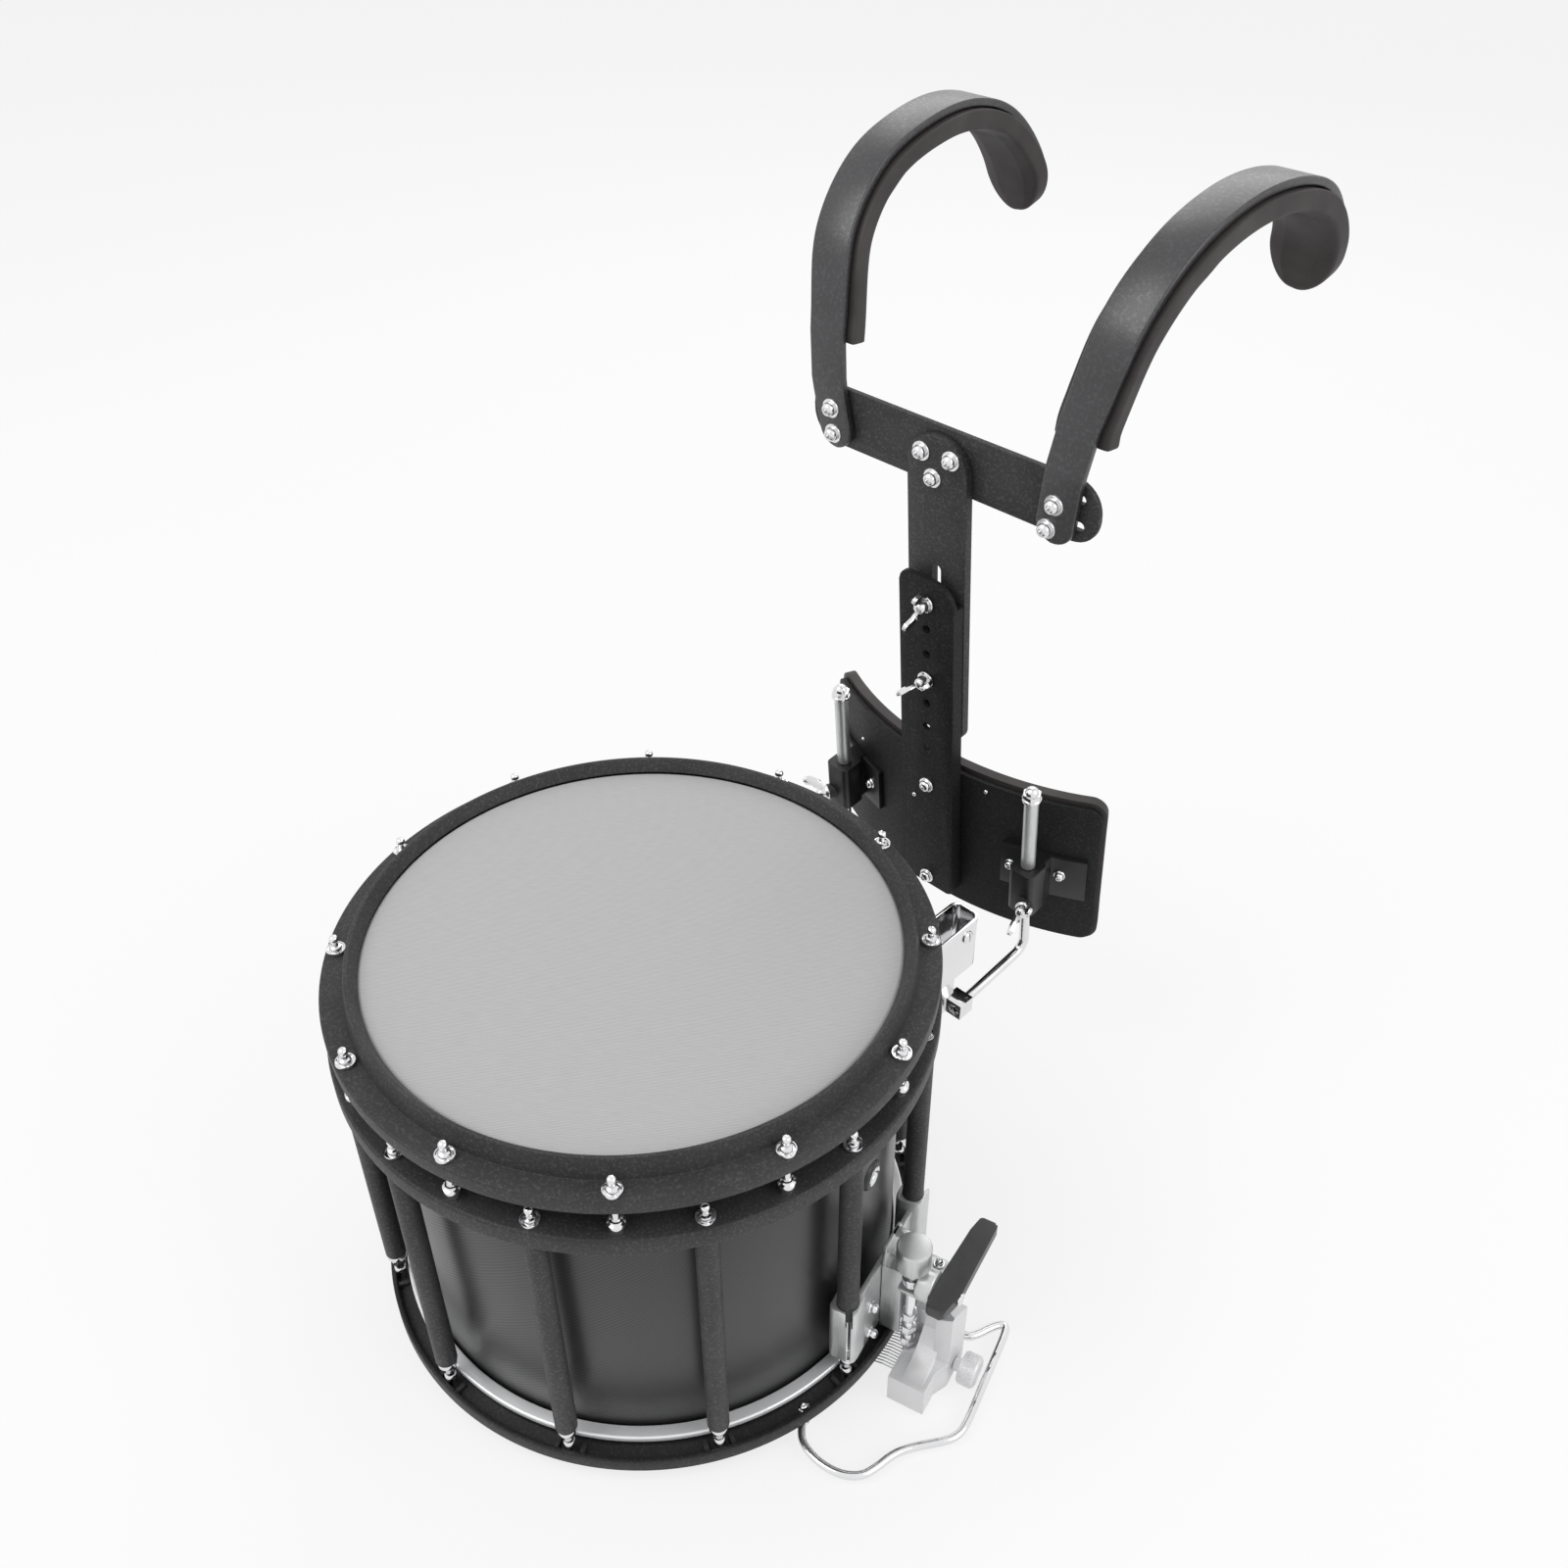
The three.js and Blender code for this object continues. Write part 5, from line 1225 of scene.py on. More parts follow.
    def guide(self) -> None:
        """The upright channel with its two shelves, the boss for the lever and their screws."""
        inner, outer = self.plate_outer + 0.3, self.plate_outer + self.channel_deep
        wall, front, back = self.channel_wall, self.channel_front, self.channel_back
        channel = prism(eased([
            (inner, front), (outer, front), (outer, front + wall), (inner + wall, front + wall),
            (inner + wall, back - wall), (outer, back - wall), (outer, back), (inner, back),
        ], [0.8, 0.8, 0.8, 2, 2, 0.8, 0.8, 0.8], 3), self.channel_low, self.channel_top, 0.5)
        top = self.upper_shelf
        neck = joined(rounded_box((inner, front, self.channel_top - 1), (inner + wall, back, top), 0.8, 0.5),
                      rounded_box((inner + 0.5, 5, top - 2), (inner + 14, 13, top), 0.8, 0.4))
        shelves = self.shelves(inner)
        boss = lathe(eased([
            (0, self.boss_inner), (self.boss, self.boss_inner), (self.boss, self.boss_outer),
            (3.3, self.boss_outer), (3.3, 224), (0, 224),
        ], [0, 0.6, 1.2, 0.4, 0, 0], 3), 48)
        axle = Matrix.Translation((0, self.pivot_aside, self.pivot_z)) @ Z_TO_X
        placed("strainer_channel", joined(channel, neck, shelves, moved(boss, axle)), SATIN, Body.DRUM,
               "strainer_guide", turn=STRAINER)
        small = moved(cap_bolt(5.6, 4.0, 8.6), Matrix.Translation((227, 9.5, self.lower_shelf)))
        web = self.bolts([(inner + wall, 4, -250)], 6.4, 2.6)
        placed("channel_screws", joined(small, web), CHROME, Body.DRUM, turn=STRAINER)

    def lever(self) -> None:
        """The dark lever, waisted at its pivot, and its bright pivot pin."""
        inner, outer = self.lever_inner, self.lever_inner + self.lever_width
        throw, tail = self.lever_throw, self.lever_tail
        plan = [
            (inner + 4.6, throw - 1.2), (inner + 2.3, throw - 13), (inner, throw - 52), (inner, -tail + 2.3),
            (inner + 1.2, -tail), (outer - 4.6, -tail), (outer, 20 - tail), (outer, throw - 2.3),
            (outer - 1.2, throw), (outer - 11.4, throw),
        ]
        half = self.lever_thick / 2
        grip = prism(eased(plan, [2.5, 8, 12, 4, 1.5, 3, 10, 2.5, 2, 3], 5), -half, half, 1.7, 4)
        seat = Matrix.Translation((0, self.pivot_aside, self.pivot_z))
        placed("throw_lever", moved(grip, seat), LEVER_PLASTIC, Body.LEVER, "strainer_lever", turn=STRAINER)
        width = self.lever_width
        pin = lathe([
            (0, -9.5), (2.9, -9.5), (2.9, width), (4.6, width), (4.6, width + 0.5), (3.4, width + 1.5),
            (0, width + 1.8),
        ], 28)
        axle = Matrix.Translation((inner, self.pivot_aside, self.pivot_z)) @ Z_TO_X
        placed("lever_pin", pin, CHROME, Body.LEVER, turn=STRAINER @ axle)

    def carriage(self) -> None:
        """The cast carriage with its concave fillet, and the clamp knob on it."""
        placed("cast_carriage", from_cad("snare_carriage", 0.9, 3, 25), CAST, Body.CARRIAGE, "snare_carriage")
        knob = lathe([
            (0, -10), (2.9, -10), (2.9, 0.4), (5, 0.4), (5, 4.4), (8.5, 5.2), (10.9, 5.6), (11.3, 6.6),
            (11.3, 16.6), (10.2, 17.8), (7.2, 18.2), (6.4, 17.4), (0, 17.2),
        ], 48)
        ridge = moved(rounded_box((-0.6, -0.45, 6.8), (0.6, 0.45, 16.4), 0.3, 0.2),
                      Matrix.Translation((11.2, 0, 0)))
        grip = REPEAT.run(ridge, self.clamp_knob_ridges, CAST, 0, 360 / self.clamp_knob_ridges)
        seat = Matrix.Translation((self.clamp_knob_out, self.clamp_knob_aside, self.clamp_knob_z)) @ Z_TO_X
        placed("clamp_thumb_knob", joined(knob, grip), CAST, Body.SNARE_CLAMP, "clamp_knob",
               turn=STRAINER @ seat)

    def tension(self) -> None:
        """The tension knob, its threaded screw and the nuts on it."""
        seat = STRAINER @ Matrix.Translation((self.screw_out, self.screw_aside, 0))
        knob = lathe([
            (0, -166.4), (9.8, -166.5), (11.2, -166.9), (11.9, -168.0), (12.0, -169.4), (12.0, -186.0),
            (11.4, -187.4), (9.8, -188.0), (0, -188.0),
        ], 64)
        placed("tension_thumb_knob", knob, SATIN, Body.TENSION, "tension_knob", turn=seat)
        thread = [point for drop in range(*self.thread) for point in ((3.2, -drop), (2.8, -drop - 0.5))]
        screw = lathe([(0, -189), (3.2, -189), *thread, (2.4, self.screw_low), (0, self.screw_low)], 24)
        collar = lathe([
            (3.2, -199.7), (6.4, -199.7), (7, -200.4), (7, -206.0), (6.4, -206.7), (3.2, -206.7),
        ], 40, True)
        nuts = [moved(hex_nut(10.2, 8, 6.2), Matrix.Translation((0, 0, -drop - 8))) for drop in self.nut_drops]
        placed("tension_screw_stack", joined(screw, collar, *nuts), CHROME, Body.TENSION, turn=seat)

    def guard(self) -> None:
        """The bent wire guard under the snare hoop, with its two bolts."""
        corners = [
            (174, -86), (177.5, -96.5), (183, -104.3), (197.4, -110.6), (214.6, -111.5), (228.1, -105.8),
            (234.4, -95.3), (240.3, -80.6), (250, -69.9), (263, -59.2), (271.6, -51), (275.1, -40.7),
            (273.3, -8.3), (272, 18), (271, 40), (268.5, 46.5), (262, 42), (252.5, 27), (246, 23.4),
            (236, 29), (222, 40), (206, 45.6), (188.2, 45.6),
        ]
        path = softer([Vector((r, t, self.guard_z)) for r, t in corners], 2)
        wire = TUBE.run(path, self.guard_wire, 1.0, CHROME)
        placed("guard_wire", wire, CHROME, Body.DRUM, "snare_guard", turn=STRAINER)
        turn = math.radians(self.guard_bolt_turn)
        bolts = []
        for r, t in ((self.guard_bolt_out * math.cos(turn), self.guard_bolt_out * math.sin(turn)), corners[-1]):
            bolts.append(moved(cap_bolt(6.4, 3.0, 8.6), Matrix.Translation((r, t, self.guard_bolt_z))))
            under = lathe([
                (0, -308.6), (4.0, -308.6), (4.6, -307.8), (4.6, -305.4), (2.6, -305.2), (2.6, -298), (0, -298),
            ], 24)
            bolts.append(moved(under, Matrix.Translation((r, t, 0))))
        placed("guard_bolts", joined(*bolts), CHROME, Body.DRUM, turn=STRAINER)

    def butt(self) -> None:
        """The butt plate behind the drum, clamped to two tubes."""
        placed("butt_bracket", from_cad("butt_plate", 0.7, 2), SATIN, Body.DRUM, "butt_plate")
        opposite = STRAINER @ Matrix.Rotation(math.pi, 4, "Z")
        placed("butt_bolts", self.bolts(self.butt_bolts, 8, 3.2, 11), CHROME, Body.DRUM, turn=opposite)

    def build(self) -> None:
        """Places the whole strainer side and the butt."""
        self.bracket()
        self.guide()
        self.lever()
        self.carriage()
        self.tension()
        self.guard()
        self.butt()


@dataclass
class Snares:
    """The wound snare strands between the butt and the carriage."""

    count: int = 16
    pitch: float = 2.4
    aside: float = -8.0
    flat_end: float = 180.0
    entry: float = 205.0
    flat_z: float = -305.9
    high_z: float = -299.0
    wind: float = 2.2
    thick: tuple[float, float] = (0.62, 0.46)
    clip: float = 7.0
    clips: tuple[float, float] = (-214.7, 219.8)

    def strand(self) -> bpy.types.Mesh:
        """One strand, swollen and drawn in as its winding goes round."""
        corners = [(-207.5, 0, self.high_z), (-self.entry, 0, self.high_z), (-self.flat_end, 0, self.flat_z),
                   (self.flat_end, 0, self.flat_z), (self.entry, 0, self.high_z), (220.0, 0, self.high_z)]
        path: list[Vector] = []
        for a, b in zip(corners, corners[1:]):
            near, far = Vector(a), Vector(b)
            parts = max(2, 2 * round((far - near).length / self.wind))
            path += [near.lerp(far, k / parts) for k in range(parts)]
        ring = [(math.cos(math.tau * k / 5), math.sin(math.tau * k / 5)) for k in range(5)]

        def section(i: int) -> list[tuple[float, float]]:
            """The strand's section, thick and thin by turns."""
            return [(a * self.thick[i % 2], b * self.thick[i % 2]) for a, b in ring]

        return swept(path, section, (0, 1, 0))

    def build(self) -> None:
        """Places the strands and the clips at their ends."""
        first = self.aside - (self.count - 1) / 2 * self.pitch
        strands = moved(REPEAT.run(self.strand(), self.count, STEEL, step=(0, self.pitch, 0)),
                        Matrix.Translation((0, first, 0)))
        half = (self.count - 1) / 2 * self.pitch + 2.1
        near, far = self.aside - half, self.aside + half
        clips = [
            rounded_box((x, near, self.high_z - 1), (x + self.clip, far, self.high_z + 1), 0.6, 0.4)
            for x in self.clips
        ]
        placed("snare_strands", joined(strands, *clips), STEEL, Body.SNARES, "snare_wires", turn=STRAINER)


# ---------------------------------------------------------------------------------- the carrier


def wing_screw(shank: float, nut: float = 0.0, seat: float = 5.3) -> bpy.types.Mesh:
    """A wing screw along Z, with its seat at zero and its wings up.

    Args:
        shank: how far its thread goes down.
        nut: how far down its nut starts, or zero for none.
        seat: the radius of the collar at its seat.

    Returns:
        The screw.
    """
    tail = seated(-nut, (3, 0), (5.4, 0), (6, -0.6), (6, -3.4), (5.4, -4), (3, -4)) if nut else []
    core = lathe([
        (0, 9.8), (2.0, 9.8), (3.4, 9.3), (4.3, 8.2), (4.8, 6.4), (5.0, 3.6), (5.1, 2.2), (seat, 1.9),
        (seat + 0.5, 1.2), (seat + 0.5, 0.3), (3, 0.3), *tail, (3, -shank + 0.7), (2.4, -shank), (0, -shank),
    ], 32)
    side = [
        (2.7, 2.2), (12.0, 4.6), (17.4, 12.2), (17.2, 18.0), (14.4, 19.6), (11.2, 18.0), (7.4, 9.4), (0, 7.4),
    ]
    rounds = [0.5, 4, 6, 2.4, 2.2, 3, 4, 6]
    wings = eased([*side, *[(-x, z) for x, z in side[-2::-1]]], [*rounds, *rounds[-2::-1]])
    return joined(core, moved(prism(wings, -1.5, 1.5, 1.1, 3), Y_TO_Z))


def padded(name: str, node: str, form: bpy.types.Mesh, cap: float, body: Body | str, turn: Matrix) -> None:
    """Blows a pad up from a form a little smaller than the space of its CAD solid.

    Args:
        name: the piece's name.
        node: the CAD node it stands for.
        form: the closed form it starts from, in mm.
        cap: how far a point may move, in mm.
        body: what it rides on.
        turn: carries it to the row frame.
    """
    mesh = inflated(form, cap)

    def end(obj: bpy.types.Object) -> None:
        """Smooths the result and subdivides it."""
        smooth = obj.modifiers.new("smooth", "SMOOTH")
        smooth.factor, smooth.iterations = 0.5, 1
        finer = obj.modifiers.new("finer", "SUBSURF")
        finer.levels = finer.render_levels = 1

    placed(name, evaluated(mesh, end), FOAM, body, node, turn=turn)


def inflated(mesh: bpy.types.Mesh, cap: float) -> bpy.types.Mesh:
    """Fills a closed cover with pressure and holds each point near where it began.

    Args:
        mesh: the cover in mm, which is used up.
        cap: how far a point may move, in mm.

    Returns:
        The filled cover.
    """
    scene, last = bpy.context.scene, 20
    moved(mesh, Matrix.Scale(MM, 4))
    obj = bpy.data.objects.new("cover", mesh)
    scene.collection.objects.link(obj)
    cloth = obj.modifiers.new("cloth", "CLOTH")
    cloth.settings.use_pressure = True
    cloth.settings.uniform_pressure_force = 4.0
    cloth.settings.effector_weights.gravity = 0.0
    cloth.point_cache.frame_start, cloth.point_cache.frame_end = 1, last
    for step in range(1, last + 1):
        scene.frame_set(step)
    result = bpy.data.meshes.new_from_object(obj.evaluated_get(bpy.context.evaluated_depsgraph_get()))
    for before, after in zip(mesh.vertices, result.vertices):
        way = after.co - before.co
        if way.length > cap * MM:
            after.co = before.co + way.normalized() * cap * MM
    obj.modifiers.clear()
    bpy.data.objects.remove(obj)
    bpy.data.meshes.remove(mesh)
    scene.frame_set(1)
    return moved(result, Matrix.Scale(1 / MM, 4))


@dataclass
class Hangers:
    """What hangs the drum: its brackets, the hooked rods, the clamp blocks and their screws."""

    aside: float = 94.5
    depth: float = 6.5
    top: float = 36.0
    low: float = -122.0
    reach: float = -77.0
    rod: float = 8.0
    bend: float = 11.0
    sleeve: float = 11.0
    sleeve_low: float = -31.7
    eye: tuple[float, float, float] = (84.8, 236.455, -171.81)
    slot_screw: tuple[float, float, float] = (109.1, 217.3, -76.5)
    clamp_z: float = -61.0
    clamp_reach: float = 15.5
    clamp_turn: float = 28.0

    def hooked_rod(self, side: int) -> bpy.types.Mesh:
        """A bent rod with its cap nut and the cross hole near its end."""
        x = side * self.aside
        wire = TUBE.run([(x, self.depth, self.top + 2), (x, self.depth, self.low), (x, self.reach, self.low)],
                        self.rod, self.bend, CHROME)
        drill = lathe([(0, -12), (1.5, -12), (1.5, 12), (0, 12)], 20)
        wire = carved(wire, moved(drill, axis_frame((x, self.reach + 10, self.low), (0.55, 0, 0.83))))
        flange = lathe(eased(seated(self.top, (self.rod / 2, 0), (7.4, 0), (7.4, 2.4), (5, 2.8)),
                             [0, 0.5, 1.1, 0], 3), 40, True)
        nut = moved(hex_nut(13.0, 4.2, 6), Matrix.Translation((0, 0, self.top + 2.2)))
        dome = lathe(seated(
            self.top, (0, 11.6), (1.8, 11.4), (3.6, 10.4), (4.8, 8.8), (5.3, 6.8), (5.3, 1.5), (0, 1.5),
        ), 32)
        return joined(wire, moved(joined(flange, nut, dome), Matrix.Translation((x, self.depth, 0))))

    def sleeve_mesh(self, side: int) -> bpy.types.Mesh:
        """The plain sleeve between the cap nut and the clamp block."""
        half = self.sleeve / 2
        sleeve = lathe(eased([
            (self.rod / 2 + 0.2, self.top - 0.3), (half, self.top - 0.3), (half, self.sleeve_low),
            (self.rod / 2 + 0.2, self.sleeve_low),
        ], [0, 0.8, 0.8, 0]), 48, True)
        return moved(sleeve, Matrix.Translation((side * self.aside, self.depth, 0)))

    def bracket_face(self, side: int) -> None:
        """The slotted screw in a bracket's outer side."""
        out, y, z = self.slot_screw
        seat = axis_frame((side * out, y, z), (side, 0, 0))
        head = lathe([(0, 0), (5.2, 0), (5.2, 0.7), (4.4, 2.0), (2.6, 2.8), (0, 3.0)], 32)
        slot = rounded_box((-6, -0.7, 1.5), (6, 0.7, 4), 0.1, 0)
        name = "right" if side > 0 else "left"
        placed(f"bracket_slot_screw_{name}", carved(head, slot), CHROME, Body.DRUM, turn=seat)

    def build(self) -> None:
        """Places both sides."""
        for name, side in (("right", 1), ("left", -1)):
            placed(f"sheet_bracket_{name}", from_cad(f"drum_bracket_{name}", 0.5, 2), CHROME, Body.DRUM,
                   f"drum_bracket_{name}")
            self.bracket_face(side)
            placed(f"chrome_hook_{name}", self.hooked_rod(side), CHROME, f"rod_{name}",
                   f"hooked_rod_{name}", turn=CARRIER)
            placed(f"rod_sleeve_{name}", self.sleeve_mesh(side), SATIN, f"rod_{name}", turn=CARRIER)
            x, y, z = self.eye
            placed(f"eye_wing_{name}", wing_screw(5.1), WING_BLACK, f"eye_screw_{name}",
                   f"bracket_screw_{name}", turn=axis_frame((side * x, y, z), (-side, 0, 0)))
            placed(f"moulded_clamp_{name}", from_cad(f"clamp_block_{name}", 0.9, 3, 30), BLOCK_PLASTIC,
                   Body.PLATE, f"clamp_block_{name}")
            turn = math.radians(self.clamp_turn)
            axis = Vector((side * math.sin(turn), -math.cos(turn), 0))
            seat = Vector((side * self.aside, self.depth, self.clamp_z)) + axis * self.clamp_reach
            placed(f"clamp_wing_{name}", wing_screw(11.2), WING_CHROME, f"rod_screw_{name}",
                   f"clamp_screw_{name}", turn=CARRIER @ axis_frame(seat, axis, 90))


@dataclass
class Harness:
    """The belly plate with its foam, the column, the stem, the cross bar and their fasteners."""

    plate_radius: float = 275.0
    plate_centre: float = 285.8
    plate_thick: float = 4.0
    half_width: float = 132.0
    plate_low: float = -119.5
    plate_top: float = 18.0
    plate_corner: float = 11.0
    foam_grow: float = 4.0
    foam_thick: float = 8.0
    column: float = 25.0
    column_depth: float = 10.5
    column_low: float = -107.0
    column_top: float = 192.6
    column_wall: float = 4.0
    hole: float = 7.0
    hole_top: float = 172.3
    hole_pitch: float = 22.55
    hole_count: int = 7
    stem: float = 25.5
    stem_front: float = 10.8
    stem_back: float = 17.8
    stem_low: float = 50.0
    stem_top: float = 298.4
    bar_left: float = -117.0
    bar_right: float = 124.6
    bar_low: float = 257.3
    bar_top: float = 302.3
    bar_front: float = 18.1
    bar_back: float = 22.1
    bar_middle: float = 279.8
    slot_pitch: float = 9.75
    slot: float = 6.5
    rivets: Points = ((-90.2, -18.5), (46.0, 9.9))
    column_rivet: tuple[float, float] = (-13.0, -16.7)
    slot_from: float = 83.5
    slot_to: float = 114.0
    flange_bolts: Points = ((-112.0, -51.0), (-74.3, -51.2), (71.3, -51.3), (108.7, -49.7))
    flange_radius: float = 279.3
    column_bolts: Points = ((0.0, 1.0), (0.0, -98.5))
    stem_slot: tuple[float, float, float] = (8.0, 60.0, 199.0)
    stem_bolts: Points = ((-12.7, 284.4), (12.5, 285.3), (-3.0, 267.2))
    arm_bolts: Points = ((95.0, 283.0), (90.0, 264.0), (-95.0, 288.0), (-94.0, 269.0))
    arm_front: float = 11.8
    wings: Points = ((172.3, 71.0), (104.65, 36.0))
    grid_rows: int = 16
    grid_columns: int = 72

    def upright(self, outline: Points, front: float, back: float, rim: float) -> bpy.types.Mesh:
        """A plate standing across the carrier, with its outline in x and height."""
        return moved(prism(outline, -back, -front, rim), Y_TO_Z)

    def box(self, x0: float, x1: float, h0: float, h1: float, radii: float | Sequence[float]) -> list[Vector]:
        """A rounded rectangle in x and height, with its radii from the lower left round."""
        return eased([(x0, h0), (x1, h0), (x1, h1), (x0, h1)], radii, 8)

    def sheet(self, outer: float, inner: float, grow: float, corner: float, rim: float) -> bpy.types.Mesh:
        """A sheet cut with round corners and bent to the belly plate's middle.

        Args:
            outer: its outer radius.
            inner: its inner radius.
            grow: how far its edge lies beyond the plate's.
            corner: the radius at its corners.
            rim: the round on its edges.

        Returns:
            The bent sheet, in the carrier's frame.
        """
        half = self.plate_radius * math.asin(self.half_width / self.plate_radius) + grow
        low, top = self.plate_low - grow, self.plate_top + grow
        arc = [math.pi / 2 * k / 8 for k in range(8)]
        edges = [(corner * (1 - math.cos(a)), corner * (1 - math.sin(a))) for a in arc]
        middle, columns = self.grid_rows, self.grid_columns
        rows = [(low + edge, draw) for edge, draw in edges]
        rows += [(low + corner + (top - low - 2 * corner) * k / middle, 0.0) for k in range(middle + 1)]
        rows += [(top - edge, draw) for edge, draw in reversed(edges)]
        bm = bmesh.new()

        def point(i: int, row: tuple[float, float], radius: float) -> tuple[float, float, float]:
            """A grid point on the sheet, drawn in at the rounded corners."""
            turn = (2 * i / columns - 1) * (half - row[1]) / self.plate_radius
            return radius * math.sin(turn), self.plate_centre - radius * math.cos(turn), row[0]

        front, back = [[[bm.verts.new(point(i, row, radius)) for i in range(columns + 1)] for row in rows]
                       for radius in (outer, inner)]
        last = len(rows) - 1
        for grid in (front, back):
            for j in range(last):
                for i in range(columns):
                    bm.faces.new((grid[j][i], grid[j][i + 1], grid[j + 1][i + 1], grid[j + 1][i]))
        edge = [(0, i) for i in range(columns)] + [(j, columns) for j in range(last)]
        edge += [(last, i) for i in range(columns, 0, -1)] + [(j, 0) for j in range(last, 0, -1)]
        for (a, b), (c, d) in zip(edge, edge[1:] + edge[:1]):
            bm.faces.new((front[a][b], front[c][d], back[c][d], back[a][b]))
        return softened(from_bmesh(bm), rim, 3, 40)

    def on_plate(self, x: float, h: float, radius: float) -> Matrix:
        """A frame on the plate's face at a place, pointing away from the player."""
        turn = math.asin(x / radius)
        seat = (x, self.plate_centre - radius * math.cos(turn), h)
        return axis_frame(seat, (math.sin(turn), -math.cos(turn), 0))

    def back_plate(self) -> None:
        """The belly plate with its rivets and bolts, and the column."""
        outer = self.plate_radius
        sheet = self.sheet(outer, outer - self.plate_thick, 0.0, self.plate_corner, 1.2)
        # The belly plate takes the darker powder copy, whose colour holds painted shade.
        placed("bent_belly_plate", sheet, SHADED_PLATE_POWDER, Body.PLATE, "belly_plate", turn=CARRIER)
        rivet = [(0, 1.2), (1.0, 1.1), (1.6, 0.6), (1.8, 0), (0, 0)]
        x, h = self.column_rivet
        seats = [*[self.on_plate(*place, outer) for place in self.rivets], axis_frame((x, 0, h), AHEAD)]
        rivets = [moved(lathe(rivet, 24), seat) for seat in seats]
        seats = [self.on_plate(*place, self.flange_radius) for place in self.flange_bolts]
        bolts = [moved(cap_bolt(7.6, 3.4, 9.6), seat) for seat in seats]
        placed("plate_fasteners", joined(*rivets, *bolts), CHROME, Body.PLATE, turn=CARRIER)
        side, wall = self.column, self.column_wall
        body = self.upright(self.box(-side, side, self.column_low, self.column_top, [4, 4, 20, 9]),
                            0, self.column_depth, 0.8)
        cuts = [
            self.upright(self.box(-side + wall, side - wall, self.column_low + 12, self.column_top, 2),
                         wall, self.column_depth + 5, 0),
            self.upright(self.box(-side - 5, side + 5, self.column_top - 18, self.column_top + 5, 0),
                         wall, self.column_depth + 5, 0),
        ]
        drill = [(0, -5), (self.hole / 2, -5), (self.hole / 2, 5.2), (0, 5.2)]
        cuts += [
            moved(lathe(drill, 28), axis_frame((0, 1, self.hole_top - k * self.hole_pitch), AHEAD))
            for k in range(self.hole_count)
        ]
        column = softened(carved(body, *cuts), 0.35, 1, 50)
        # The column takes the darker powder copy, whose colour holds painted shade.
        placed("slotted_column", column, SHADED_COLUMN_POWDER, Body.PLATE, "carrier_column", turn=CARRIER)
        foot = [moved(cap_bolt(9.6, 4.2, 13), axis_frame((x, 0, h), AHEAD)) for x, h in self.column_bolts]
        placed("column_bolts", joined(*foot), CHROME, Body.PLATE, turn=CARRIER)

    def yoke(self) -> None:
        """The stem, the bar and the bolts in both."""
        shape = self.box(-self.stem, self.stem, self.stem_low, self.stem_top, [5, 9, 24, 24])
        width, low, high = self.stem_slot
        slot = self.box(-width / 2, width / 2, low, high, 3.9)
        stem = carved(self.upright(shape, self.stem_front, self.stem_back, 0.8),
                      self.upright(slot, self.stem_front - 5, self.stem_back + 5, 0))
        placed("sliding_stem", softened(stem, 0.3, 1, 50), CARRIER_POWDER, Body.YOKE, "carrier_stem",
               turn=CARRIER)
        shape = self.box(self.bar_left, self.bar_right, self.bar_low, self.bar_top, 20)
        slots = []
        for side in (-1, 1):
            for row in (-1, 1):
                low, high = sorted((side * self.slot_from, side * self.slot_to))
                middle = self.bar_middle + row * self.slot_pitch
                slots.append(self.upright(
                    self.box(low, high, middle - self.slot / 2, middle + self.slot / 2, self.slot * 0.49),
                    self.bar_front - 5, self.bar_back + 5, 0,
                ))
        bar = carved(self.upright(shape, self.bar_front, self.bar_back, 0.7), *slots)
        placed("slotted_bar", softened(bar, 0.3, 1, 50), CARRIER_POWDER, Body.YOKE, "cross_bar",
               turn=CARRIER)
        heads = [(x, self.stem_front, h) for x, h in self.stem_bolts]
        heads += [(x, self.arm_front, h) for x, h in self.arm_bolts]
        bolts = [moved(cap_bolt(10.2, 5.0, 14.4), axis_frame(head, AHEAD)) for head in heads]
        placed("yoke_bolts", joined(*bolts), CHROME, Body.YOKE, turn=CARRIER)

    def screws(self) -> None:
        """The two wing screws that set the height."""
        for name, body, (h, spin) in zip(("upper", "lower"), (Body.UPPER_SCREW, Body.LOWER_SCREW), self.wings):
            placed(f"height_wing_{name}", wing_screw(24.4, 18.4, 6.6), WING_CHROME, body,
                   f"height_screw_{name}", turn=CARRIER @ axis_frame((0, -0.3, h), AHEAD, spin))

    def build(self) -> None:
        """Places the carrier, its foam first."""
        outer = self.plate_radius - self.plate_thick - 0.9
        foam = self.sheet(outer, outer - self.foam_thick, self.foam_grow, self.plate_corner + 3, 3.0)
        padded("belly_foam", "belly_pad", foam, 0.6, Body.PLATE, CARRIER)
        self.back_plate()
        self.yoke()
        self.screws()


